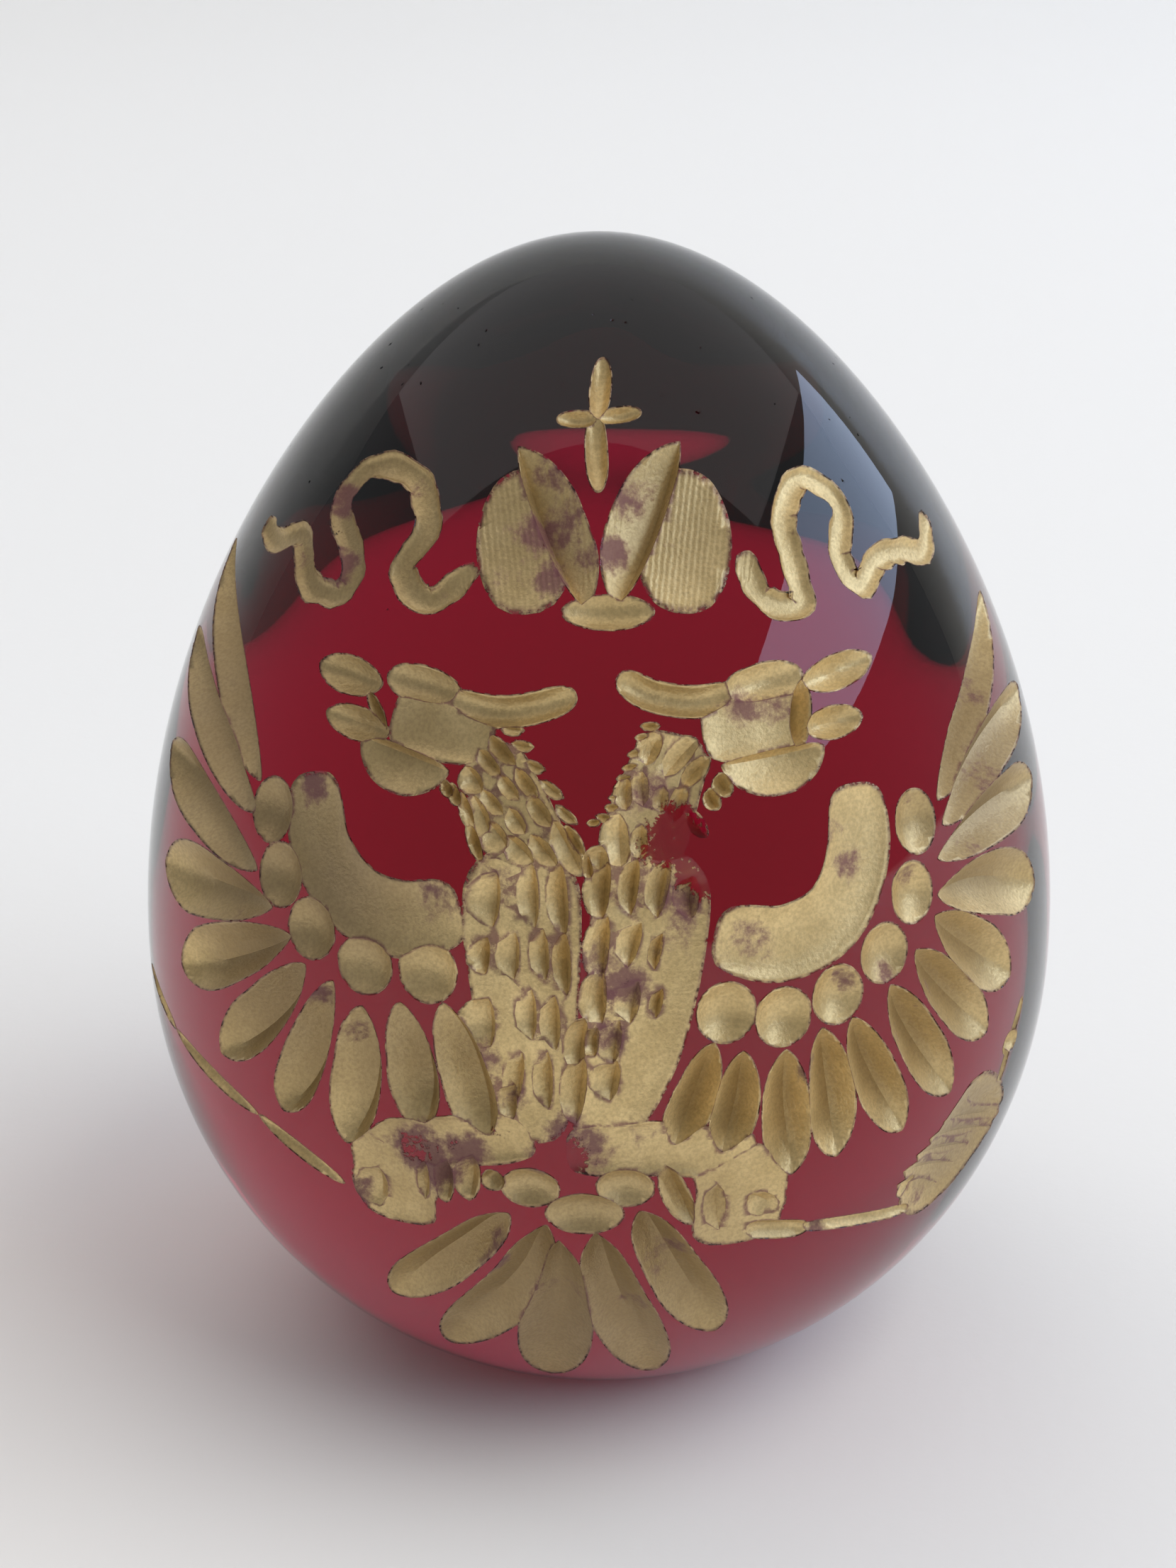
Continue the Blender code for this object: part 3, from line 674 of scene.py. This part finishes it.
SOCKET_KINDS = {int: "Int", float: "Float", bool: "Bool", bpy.types.Object: "Object",
                bpy.types.Collection: "Collection", bpy.types.Material: "Material"}


def engraving_tree(inputs):
    """Turned blank, less every long stroke and every short mark."""
    tree = bpy.data.node_groups.new("Engraved egg", "GeometryNodeTree")
    graph = Graph(tree)
    tree.interface.new_socket("Geometry", in_out="INPUT", socket_type="NodeSocketGeometry")
    for name, value in inputs.items():
        tree.interface.new_socket(name, in_out="INPUT",
                                  socket_type="NodeSocket" + SOCKET_KINDS[type(value)])
    tree.interface.new_socket("Geometry", in_out="OUTPUT", socket_type="NodeSocketGeometry")
    size = graph.node("NodeGroupInput").out

    # Upright line of ring centres, closer together towards the foot and the top
    line = graph.node("GeometryNodeCurvePrimitiveLine")
    rings = graph.node("GeometryNodeResampleCurve", {"Curve": line, "Count": size("Rings")})
    share = graph.node("GeometryNodeInputIndex") / (size("Rings") - 1)
    total = size("Girth height") + size("Top rise")
    height = total * (1 - graph.math("COSINE", share * math.pi)) / 2
    # Radius of each ring
    above = height - size("Girth height")
    upper = above > 0
    reach = size("Belly drop") + (size("Top rise") - size("Belly drop")) * upper
    part = graph.math("MINIMUM", (above / reach) ** 2, 1)
    round_radius = (size("Girth radius") * graph.math("SQRT", 1 - part)
                    * (1 - size("Top draw") * part * upper))
    chamfer = size("Foot radius") + size("Chamfer width") * height / size("Chamfer height")
    radius = graph.math("MINIMUM", round_radius, chamfer)
    placed = graph.node("GeometryNodeSetPosition", {
        "Geometry": rings, "Position": graph.node("ShaderNodeCombineXYZ", {"Z": height})})
    circle = graph.node("GeometryNodeCurvePrimitiveCircle",
                        {"Resolution": size("Sides"), "Radius": 1.0})
    blank = graph.node("GeometryNodeCurveToMesh", {
        "Curve": placed, "Profile Curve": circle, "Scale": radius, "Fill Caps": True})
    blank = graph.node("GeometryNodeMergeByDistance",
                       {"Geometry": blank, "Distance": MERGE_WITHIN})
    blank = graph.node("GeometryNodeSetMaterial",
                       {"Geometry": blank, "Material": size("Blank glass")})

    # Cutters: swept strokes as they are, and a unit cut at each mark
    swept, units = (
        graph.node("GeometryNodeCollectionInfo",
                   {"Collection": size(name), "Separate Children": True})
        for name in ("Strokes", "Unit cuts"))
    places = graph.node("GeometryNodeMeshToPoints", {
        "Mesh": graph.node("GeometryNodeObjectInfo", {"Object": size("Marks")}).out("Geometry")})

    def kept(name, kind):
        return graph.node("GeometryNodeInputNamedAttribute", {"Name": name}, data_type=kind)

    small = graph.node("GeometryNodeInstanceOnPoints", {
        "Points": places, "Instance": units, "Pick Instance": True,
        "Instance Index": kept("unit", "INT"), "Rotation": kept("turned", "FLOAT_VECTOR"),
        "Scale": kept("size", "FLOAT_VECTOR")})
    cut = graph.node("GeometryNodeMeshBoolean", {"Mesh 1": blank, "Mesh 2": [swept, small]},
                     operation="DIFFERENCE", solver="MANIFOLD")

    def made_of(name):
        return graph.node("GeometryNodeMaterialSelection", {"Material": size(name)})

    cut = graph.node("GeometryNodeStoreNamedAttribute",
                     {"Geometry": cut, "Name": "polished", "Value": made_of("Blank glass")},
                     data_type="BOOLEAN", domain="FACE")
    coat = graph.node("GeometryNodeSeparateGeometry",
                      {"Geometry": cut, "Selection": made_of("Gilded cut")}, domain="FACE")
    shown, finish = (
        graph.node("GeometryNodeSwitch",
                   {"Switch": size("Coat only"), "False": plain, "True": gilt}, input_type=kind)
        for kind, plain, gilt in (("GEOMETRY", cut, coat),
                                  ("MATERIAL", size("Glass"), size("Gilding"))))
    whole = graph.node("GeometryNodeRealizeInstances", {"Geometry": shown})
    final = graph.node("GeometryNodeSetMaterial", {"Geometry": whole, "Material": finish})
    graph.node("NodeGroupOutput", {"Geometry": final})
    return tree


def engrave(name, tree, inputs):
    """Runs the tree and returns its result as a plain mesh object."""
    holder = add_object(name, bpy.data.meshes.new(name))
    modifier = holder.modifiers.new("Engraving", "NODES")
    modifier.node_group = tree
    for item in tree.interface.items_tree:
        if item.in_out == "INPUT" and item.name in inputs:
            modifier[item.identifier] = inputs[item.name]
    evaluated = holder.evaluated_get(bpy.context.evaluated_depsgraph_get())
    mesh = bpy.data.meshes.new_from_object(evaluated)
    holder.modifiers.remove(modifier)
    holder.data = mesh
    mesh.name = name
    return holder


# Finishing the two pieces

def radius_and_slope(heights):
    """egg_radius and egg_slope of many heights at once."""
    pairs = [(egg_radius(h), egg_slope(h)) for h in heights]
    return np.array(pairs).T


def read(items, name, width, kind=np.float32):
    """One property of every item of a mesh, as rows of an array."""
    values = np.zeros(len(items) * width, kind)
    items.foreach_get(name, values)
    return values.reshape(-1, width) if width > 1 else values


def polish(egg):
    """Crisp edges round the cuts, and the exact normals of the turned shape between them."""
    mesh = egg.data
    polished = read(mesh.attributes["polished"].data, "value", 1, bool)
    bm = bmesh.new()
    bm.from_mesh(mesh)
    bm.faces.ensure_lookup_table()
    for face in bm.faces:
        face.smooth = True
    for edge in bm.edges:
        a, b = (face.index for face in edge.link_faces)
        same = bool(polished[a] == polished[b])
        edge.smooth = same and edge.calc_face_angle(0.0) < CREASE
    bm.to_mesh(mesh)
    bm.free()
    normals = read(mesh.corner_normals, "vector", 3)
    corner = read(mesh.loops, "vertex_index", 1, np.int32)
    places = read(mesh.vertices, "co", 3)
    above_foot = read(mesh.polygons, "center", 3)[:, 2] > CHAMFER_HEIGHT
    turned = np.repeat(polished & above_foot, read(mesh.polygons, "loop_total", 1, np.int32))
    slope = radius_and_slope(places[:, 2].tolist())[1]
    wide = np.maximum(np.hypot(places[:, 0], places[:, 1]), 1e-9)
    exact = np.stack([places[:, 0] / wide, places[:, 1] / wide, -slope], 1)
    exact /= np.linalg.norm(exact, axis=1)[:, None]
    normals[turned] = exact[corner[turned]]
    mesh.normals_split_custom_set(normals)


def patch_value(places, patches):
    """Strongest of the worn patches at each place, fading out from the middle of each."""
    value = np.zeros(len(places))
    for turn, rise, radius, strength in patches:
        middle = np.array(on_egg(turn, height_of(rise))[0])
        far = np.linalg.norm(places - middle, axis=1) / (radius * MM)
        value = np.maximum(value, strength * np.clip(1 - far ** 2, 0, 1))
    return value


def fans(vertex):
    """Groups of a vertex's faces that hang together by its edges."""
    left, groups = set(vertex.link_faces), []
    while left:
        stack, group = [left.pop()], []
        while stack:
            face = stack.pop()
            group.append(face)
            for edge in face.edges:
                if vertex in edge.verts:
                    for other in edge.link_faces:
                        if other in left:
                            left.remove(other)
                            stack.append(other)
        groups.append(group)
    return sorted(groups, key=lambda group: sum(face.calc_area() for face in group))


def loosen(bm):
    """Takes away the small faces where two parts of the coat only touch in a point."""
    while True:
        small = {face for vertex in bm.verts for group in fans(vertex)[:-1] for face in group}
        if not small:
            break
        bmesh.ops.delete(bm, geom=list(small), context="FACES")


def lay_coat(coat):
    """Gives the gilded faces their thickness, and notes where the gold is stained or worn, and
    where painted shade darkens it.
    """
    mesh = coat.data
    bm = bmesh.new()
    bm.from_mesh(mesh)
    loosen(bm)
    for face in bm.faces:
        face.smooth = True
    for edge in bm.edges:
        edge.smooth = edge.calc_face_angle(0.0) < CREASE
    ridge = [max((edge.calc_face_angle_signed(0.0) for edge in vertex.link_edges), default=0)
             for vertex in bm.verts]
    ridge = np.clip((np.array(ridge) - RIDGE_FROM) / RIDGE_FROM, 0, 1)
    bm.to_mesh(mesh)
    bm.free()
    places = read(mesh.vertices, "co", 3)
    radius, slope = radius_and_slope(places[:, 2].tolist())
    sunk = (radius - np.hypot(places[:, 0], places[:, 1])) / np.hypot(1, slope) / MM
    # The depth, the ridges and the dulled patches also place painted shade in the gilding
    noted = {"sunk": sunk, "ridge": ridge, "stain": patch_value(places, STAINS),
             "bare": patch_value(places, BARE), "dull_and_shade": patch_value(places, DULL_AND_SHADE),
             "comb": patch_value(places, COMBED) > 0}
    for name, values in noted.items():
        mesh.attributes.new(name, "FLOAT", "POINT").data.foreach_set(
            "value", values.astype(np.float32))
    thick = coat.modifiers.new("Coat", "SOLIDIFY")
    thick.thickness = COAT_OVER + COAT_UNDER
    thick.offset = (COAT_OVER - COAT_UNDER) / (COAT_OVER + COAT_UNDER)


# Where the gold is stained purple-brown, and where it has gone: turn, rise, radius in
# millimetres, strength
STAINS = (
    (-10, 82.2, 2.2, 1), (-8, 79.6, 1.6, 1), (-14.9, 79.3, 1.2, 0.6), (-9.9, 86, 1.6, 0.9),
    (-5.8, 83.8, 1.7, 0.8), (-2.6, 80.6, 1.2, 0.7), (5.9, 84.6, 1.9, 1), (3.2, 81, 1.8, 1),
    (10.5, 85.6, 1.4, 0.8), (11.9, 81.7, 0.9, 0.9), (-49, 82.3, 1.5, 1), (-44, 78.3, 1.6, 1),
    (-53.2, 77.9, 1.2, 0.8), (-34, 84.6, 1.2, 0.7), (-24, 78, 1, 0.7), (36.5, 81.2, 1.2, 0.6),
    (-37.1, 62.8, 1.3, 1), (-26, 55, 1.6, 0.5), (-19, 56.4, 1.8, 0.6), (30.5, 58.1, 1.6, 0.8),
    (28.3, 60.7, 1.6, 0.6), (17, 53, 2.2, 0.6), (9.3, 62, 2.6, 1), (6, 64.8, 1.8, 0.8),
    (9.4, 57.1, 2.2, 1), (3.1, 50.7, 1.7, 1), (8.6, 53.6, 1.8, 0.5), (1.3, 46.4, 1.5, 0.9),
    (-0.3, 52.6, 1.4, 0.7), (-10.8, 54, 1.2, 0.3), (-12.4, 59.4, 1.3, 0.6), (19, 70.4, 1.6, 0.8),
    (24, 69.8, 1.4, 0.7), (-21.1, 35.7, 2.4, 1), (-28.5, 30, 1.4, 0.8), (-14.2, 36.2, 1.8, 0.9),
    (-18, 33.5, 1.8, 1), (-2, 36.6, 2.4, 1), (-3.7, 39, 1.6, 0.8), (-6.3, 36.1, 1.6, 0.9),
    (4.7, 38.3, 1.4, 0.4), (38.8, 55.4, 1.2, 1), (34.1, 49, 1.2, 0.8), (28.4, 48.9, 1.3, 0.9),
    (41.6, 61.2, 0.9, 0.7), (48.5, 47.7, 1.8, 0.6), (43.1, 45.6, 1.8, 0.8),
    (38.5, 43.2, 1.7, 0.7), (33, 39.4, 1.4, 0.9), (24, 42.5, 1.4, 0.7), (62, 66.5, 2.2, 0.8),
    (58, 60.8, 2.4, 0.8), (52, 56, 2, 0.6), (-27.7, 44.2, 1.4, 1), (-33.4, 47, 1.4, 0.9),
    (-12.6, 44.4, 1.6, 0.9), (-9.6, 41, 1.5, 0.8), (-46.7, 50.1, 1.4, 0.5), (-12, 24.6, 1.7, 0.8),
    (2.7, 18.5, 2.2, 0.8), (-5, 20.5, 2.2, 0.9), (8.2, 25, 2.2, 1), (12.2, 20, 1.8, 0.7),
    (-12.6, 27.4, 1.4, 0.9), (44, 25.3, 1.4, 0.9), (27, 26.9, 1, 1))
BARE = (
    (9.4, 61.8, 2.7, 1.1), (10.9, 58.4, 1.6, 1.1), (6.5, 60.8, 1.6, 0.9), (-21, 35.4, 1.7, 0.9),
    (-3, 36.4, 1.9, 1), (-16.2, 36.4, 1.3, 0.7), (2.6, 51, 1, 0.8), (-9.2, 81.4, 1, 0.6),
    (4.3, 83, 1.1, 0.6), (-48, 80.4, 1, 0.6), (-45, 77.6, 0.9, 0.7), (28.6, 27, 0.7, 0.9),
    (-10.8, 38.2, 1.2, 0.8))
# Where the gold is painted brown and dulled over wide areas, the left side above all: partly real
# wear, partly painted shade on the side turned away from the light
DULL_AND_SHADE = (
    (-31, 57.5, 7.5, 1), (-60, 66, 13, 0.9), (-45, 58, 10, 0.9), (-48, 80, 8, 0.7),
    (-30, 80, 6, 0.5), (-28, 69, 7, 0.5), (-40, 47, 9, 0.9), (-25, 45, 6, 0.7), (-14, 82, 6, 0.4),
    (-22, 35, 6, 0.45), (-4, 20, 14, 0.8), (60, 62, 10, 0.8), (51, 29.5, 6, 0.9),
    (12, 83, 5, 0.3), (44, 44, 8, 0.3))
COMBED = ((-11.7, 81.7, 3.9, 1), (13.5, 81.7, 3.9, 1))     # the crown's two discs


# Finishes

RUBY_DYE, RUBY_DENSITY = (0.865, 0.20, 0.60), 230.0
FRONT_SWAY, BACK_SWAY = 0.06, 1.1       # unevenness of the glass in millimetres
SWAY_FROM, SWAY_FULL = 4.0 * MM, 25.0 * MM      # how far back it starts, and is full
GOLD_LIGHT = (0.82, 0.62, 0.30)
GOLD_DEEP = (0.62, 0.455, 0.205)
GOLD_DARK = (0.30, 0.205, 0.095)        # between the grains, and painted shade in the deepest lines
# Brown of the dulled patches: partly real wear, partly painted shade on the left side
GOLD_DULL_AND_SHADE = (0.165, 0.110, 0.070)
# Colour of the real stains, and also of the painted shade lines along rims and ridges
STAIN_AND_SHADE_COLOUR = (0.165, 0.058, 0.068)
PAPER_COLOUR = (0.80, 0.80, 0.785)
GRAIN, SPECKLE, CLOUD = 5200.0, 1700.0, 330.0   # of the gilding, as noise scales per metre
COMB_LEAN = 0.13                # how far the wheel's lines lean outwards
COMB_PITCH = 0.30 * MM
COMB_SHAKE = 0.2 * MM


def new_material(name):
    """A material, its node tree, its shader and the Object coordinates for it."""
    material = bpy.data.materials.new(name)
    material.use_nodes = True
    graph = Graph(material.node_tree)
    place = graph.node("ShaderNodeTexCoord").out("Object")
    return material, graph, material.node_tree.nodes["Principled BSDF"], place


def feed(graph, shader, **sockets):
    """Sets the shader's sockets, each to a number, a colour or a wire."""
    for key, value in sockets.items():
        socket = shader.inputs[key.replace("_", " ")]
        if isinstance(value, Wire):
            graph.tree.links.new(value.socket, socket)
        else:
            socket.default_value = value


def make_ruby():
    """Clear ruby glass: no colour at its surface, all of it from the way through."""
    material, graph, shader, place = new_material("ruby_glass")
    smear = graph.noise(place, 240.0, 4.0)
    # The unengraved back was polished by hand and isn't quite even
    back = graph.node("ShaderNodeSeparateXYZ", {"Vector": place}).out("Y")
    uneven = FRONT_SWAY + graph.step(SWAY_FROM, SWAY_FULL, back) * BACK_SWAY
    hollow = graph.bump(graph.noise(place, 75.0, 0.0, 0.4, 0.6) * uneven, 1.0, 1.0 * MM)
    feed(graph, shader, Base_Color=(1.0, 0.985, 0.985, 1.0), Metallic=0.0, IOR=1.49,
         Transmission_Weight=1.0, Normal=hollow, Roughness=graph.step(0.56, 0.78, smear) * 0.035)
    dye = graph.node("ShaderNodeVolumeAbsorption",
                     {"Color": (*RUBY_DYE, 1.0), "Density": RUBY_DENSITY})
    graph.tree.links.new(dye.socket, graph.tree.nodes["Material Output"].inputs["Volume"])
    return material


def make_gilding():
    """Old, dulled gold paint on ground glass: grainy, stained in patches and worn through, with
    painted shade in its deepest lines, along rims and ridges and over much of its left side.
    """
    material, graph, shader, place = new_material("old_gilding")

    def noted(name):
        return graph.node("ShaderNodeAttribute", attribute_name=name).out("Fac")

    grain = graph.noise(place, GRAIN)
    speckle = graph.noise(place, SPECKLE, 4.0, 0.7)
    cloud = graph.noise(place, CLOUD, 4.0)
    sunk = noted("sunk")        # millimetres below the egg's surface
    stain = graph.step(0.26, 0.66, noted("stain") * 0.72 + (speckle - 0.5) * 0.9
                       + (cloud - 0.5) * 1.1)
    # Worn through in patches, and frayed along the rims
    gone = graph.step(0.44, 0.58, noted("bare") * 0.74 + (speckle - 0.5) * 1.2
                      + (grain - 0.5) * 0.5)
    frayed = (1 - graph.step(0.01, 0.09, sunk)) * graph.step(0.50, 0.56, speckle)
    gone = graph.math("MAXIMUM", gone, frayed)

    gold = graph.blend(graph.step(0.3, 0.7, cloud), GOLD_DEEP, GOLD_LIGHT)
    gold = graph.blend(graph.step(0.34, 0.70, grain) * 0.34, gold, GOLD_DARK)
    # Partly painted shade: brown dulling that darkens mostly the left side, turned from the light,
    # besides real wear
    gold = graph.blend(noted("dull_and_shade") * (0.40 + cloud * 0.5), gold, GOLD_DULL_AND_SHADE)
    # Painted shade: darker towards the bottoms of the deepest cuts
    gold = graph.blend(graph.step(0.50, 1.45, sunk) * (0.22 + cloud * 0.5), gold, GOLD_DARK)
    gold = graph.blend(stain * 0.86, gold, STAIN_AND_SHADE_COLOUR)
    # Painted shade: dark lines along the rims of the cuts and the ridges between them
    rim_shade = 1 - graph.step(0.02, 0.12, sunk)
    line = graph.math("MAXIMUM", rim_shade, graph.step(0.45, 0.95, noted("ridge")))
    gold = graph.blend(line * 0.75 * graph.step(0.30, 0.55, speckle), gold, STAIN_AND_SHADE_COLOUR)

    # Fine lines of the wheel down the crown's two discs
    split = graph.node("ShaderNodeSeparateXYZ", {"Vector": place})
    across = graph.math("ABSOLUTE", split.out("X")) - split.out("Z") * COMB_LEAN
    comb = noted("comb") * (1 - graph.step(0.47, 0.60, sunk))
    wave = graph.math("SINE", (across + speckle * COMB_SHAKE) * (math.tau / COMB_PITCH)) * comb
    rough_coat = graph.bump(grain * 0.6 + speckle * 0.8 + wave * 0.22, 0.8, 0.05 * MM)
    feed(graph, shader, Base_Color=gold, Metallic=0.74 - stain * 0.45,
         Roughness=0.36 + grain * 0.12 + stain * 0.24, Alpha=1 - gone * 0.92,
         Normal=rough_coat)
    return material


def make_paper():
    """Plain pale paper under the egg."""
    material, graph, shader, place = new_material("pale_paper")
    tooth = graph.bump(graph.noise(place, 900.0), 0.3, 0.06 * MM)
    feed(graph, shader, Base_Color=(*PAPER_COLOUR, 1.0), Roughness=0.85, Normal=tooth)
    return material


# The egg

strokes = bpy.data.collections.new("Long strokes")
unit_cuts = bpy.data.collections.new("Unit cuts")
for cutters in (strokes, unit_cuts):
    bpy.context.scene.collection.children.link(cutters)
ruby_glass, old_gilding = make_ruby(), make_gilding()
blank_glass, gilded_cut, bare_cut = (
    bpy.data.materials.new(name) for name in ("blank_glass", "gilded_cut", "bare_cut"))
unit_cut("a_oval", (0.75, 1.25), 1.6, 2.2, gilded_cut, steps=4)
unit_cut("b_scale", (0.45, 1.55), 1.3, 2.4, gilded_cut, steps=4)
unit_cut("c_rib", (1.0, 1.0), 1.2, 2.0, gilded_cut, stations=12)
unit_cut("d_pit", (1.0, 1.0), 1.5, 2.0, bare_cut, stations=5, steps=2)
for cut in (cut_cross, cut_crown, cut_ribbons, cut_heads, cut_trunk, cut_wings, cut_tail,
            cut_legs, cut_rod, cut_sceptre, cut_marks):
    cut()
mark_points = lay_marks()

inputs = {
    "Sides": EGG_SIDES, "Rings": EGG_RINGS, "Girth radius": GIRTH_RADIUS,
    "Girth height": GIRTH_HEIGHT, "Top rise": TOP_RISE, "Belly drop": BELLY_DROP,
    "Top draw": TOP_DRAW, "Foot radius": FOOT_RADIUS, "Chamfer width": FOOT_CHAMFER,
    "Chamfer height": CHAMFER_HEIGHT, "Strokes": strokes, "Unit cuts": unit_cuts,
    "Marks": mark_points, "Blank glass": blank_glass, "Glass": ruby_glass,
    "Gilded cut": gilded_cut, "Gilding": old_gilding, "Coat only": False}
tree = engraving_tree(inputs)
glass_egg = engrave("ruby_egg", tree, inputs)
gilding = engrave("gilding", tree, {**inputs, "Coat only": True})
for cutter in [*strokes.objects, *unit_cuts.objects, mark_points]:
    bpy.data.objects.remove(cutter, do_unlink=True)
for cutters in (strokes, unit_cuts):
    bpy.data.collections.remove(cutters)
polish(glass_egg)
lay_coat(gilding)

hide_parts("glass_egg")
for piece in (glass_egg, gilding):
    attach(piece, "root")


# Stage, light and camera

PAPER_GAP = 0.02 * MM           # keeps the paper clear of the foot


def paper_sweep(half, bend, radius, top):
    """Pale paper that lies flat under the egg and turns up far behind it."""
    turns = [math.radians(6 * k) for k in range(16)]
    line = [(-half, 0.0)]
    line += [(bend + radius * math.sin(a), radius * (1 - math.cos(a))) for a in turns]
    line.append((bend + radius, top))
    mesh = bpy.data.meshes.new("paper_floor")
    mesh.from_pydata([(x, y, z - PAPER_GAP) for y, z in line for x in (-half, half)], [],
                     [(2 * k, 2 * k + 1, 2 * k + 3, 2 * k + 2) for k in range(len(line) - 1)])
    mesh.shade_smooth()
    mesh.materials.append(make_paper())
    return add_object("paper_floor", mesh)


paper_sweep(2.5, 0.9, 0.4, 1.5)


def soft_light(name, azimuth, elevation, distance, size, power, colour, mirrored):
    """Area light that looks at the egg from a direction, azimuth round from the front."""
    light = bpy.data.lights.new(name, "AREA")
    light.shape, (light.size, light.size_y) = "RECTANGLE", size
    light.energy, light.color = power, colour
    lamp = add_object(name, light)
    a, e = math.radians(azimuth), math.radians(elevation)
    away = Vector((math.sin(a) * math.cos(e), -math.cos(a) * math.cos(e), math.sin(e)))
    lamp.location = away * distance
    lamp.rotation_euler = away.to_track_quat("Z", "Y").to_euler()
    lamp.visible_glossy = mirrored


soft_light("window_light", 90, 30, 1.5, (2.3, 0.50), 11.5, (0.55, 0.70, 1.0), True)
soft_light("fill_light", 66, 50, 2.0, (1.6, 1.6), 22, (1.0, 0.95, 0.87), False)
soft_light("ceiling_light", 180, 78, 2.0, (4.2, 2.4), 15, (1.0, 0.955, 0.95), True)
soft_light("back_light", -145, 50, 2.0, (1.6, 1.6), 8, (1.0, 0.97, 0.95), False)

world = bpy.data.worlds.new("room")
bpy.context.scene.world = world
world.use_nodes = True
room = world.node_tree.nodes["Background"]
room.inputs["Color"].default_value = (0.95, 0.97, 1.0, 1.0)
room.inputs["Strength"].default_value = 0.29

# The camera stands where the photograph was taken from: 25 degrees above level
CAMERA_RISE = math.radians(25)
CAMERA_REACH = 5.5 * GIRTH_RADIUS
IMAGE_WIDTH, IMAGE_HEIGHT = 1659, 2212
FOCAL_PIXELS = 3437
SENSOR = 36
AIM_PIXEL = (829.5 + 15.5, 1295.8)      # where the girth's middle falls in the image

camera = add_object("camera", bpy.data.cameras.new("camera"))
aim = Vector((0, 0, GIRTH_HEIGHT))
camera.location = aim + CAMERA_REACH * Vector((0, -math.cos(CAMERA_RISE), math.sin(CAMERA_RISE)))
camera.rotation_euler = (aim - camera.location).to_track_quat("-Z", "Y").to_euler()
camera.data.sensor_width = SENSOR
camera.data.lens = SENSOR * FOCAL_PIXELS / IMAGE_HEIGHT
camera.data.shift_x = (IMAGE_WIDTH / 2 - AIM_PIXEL[0]) / IMAGE_HEIGHT
camera.data.shift_y = (AIM_PIXEL[1] - IMAGE_HEIGHT / 2) / IMAGE_HEIGHT
camera.data.clip_start = 0.001
bpy.context.scene.camera = camera
bpy.context.scene.view_settings.view_transform = "Standard"
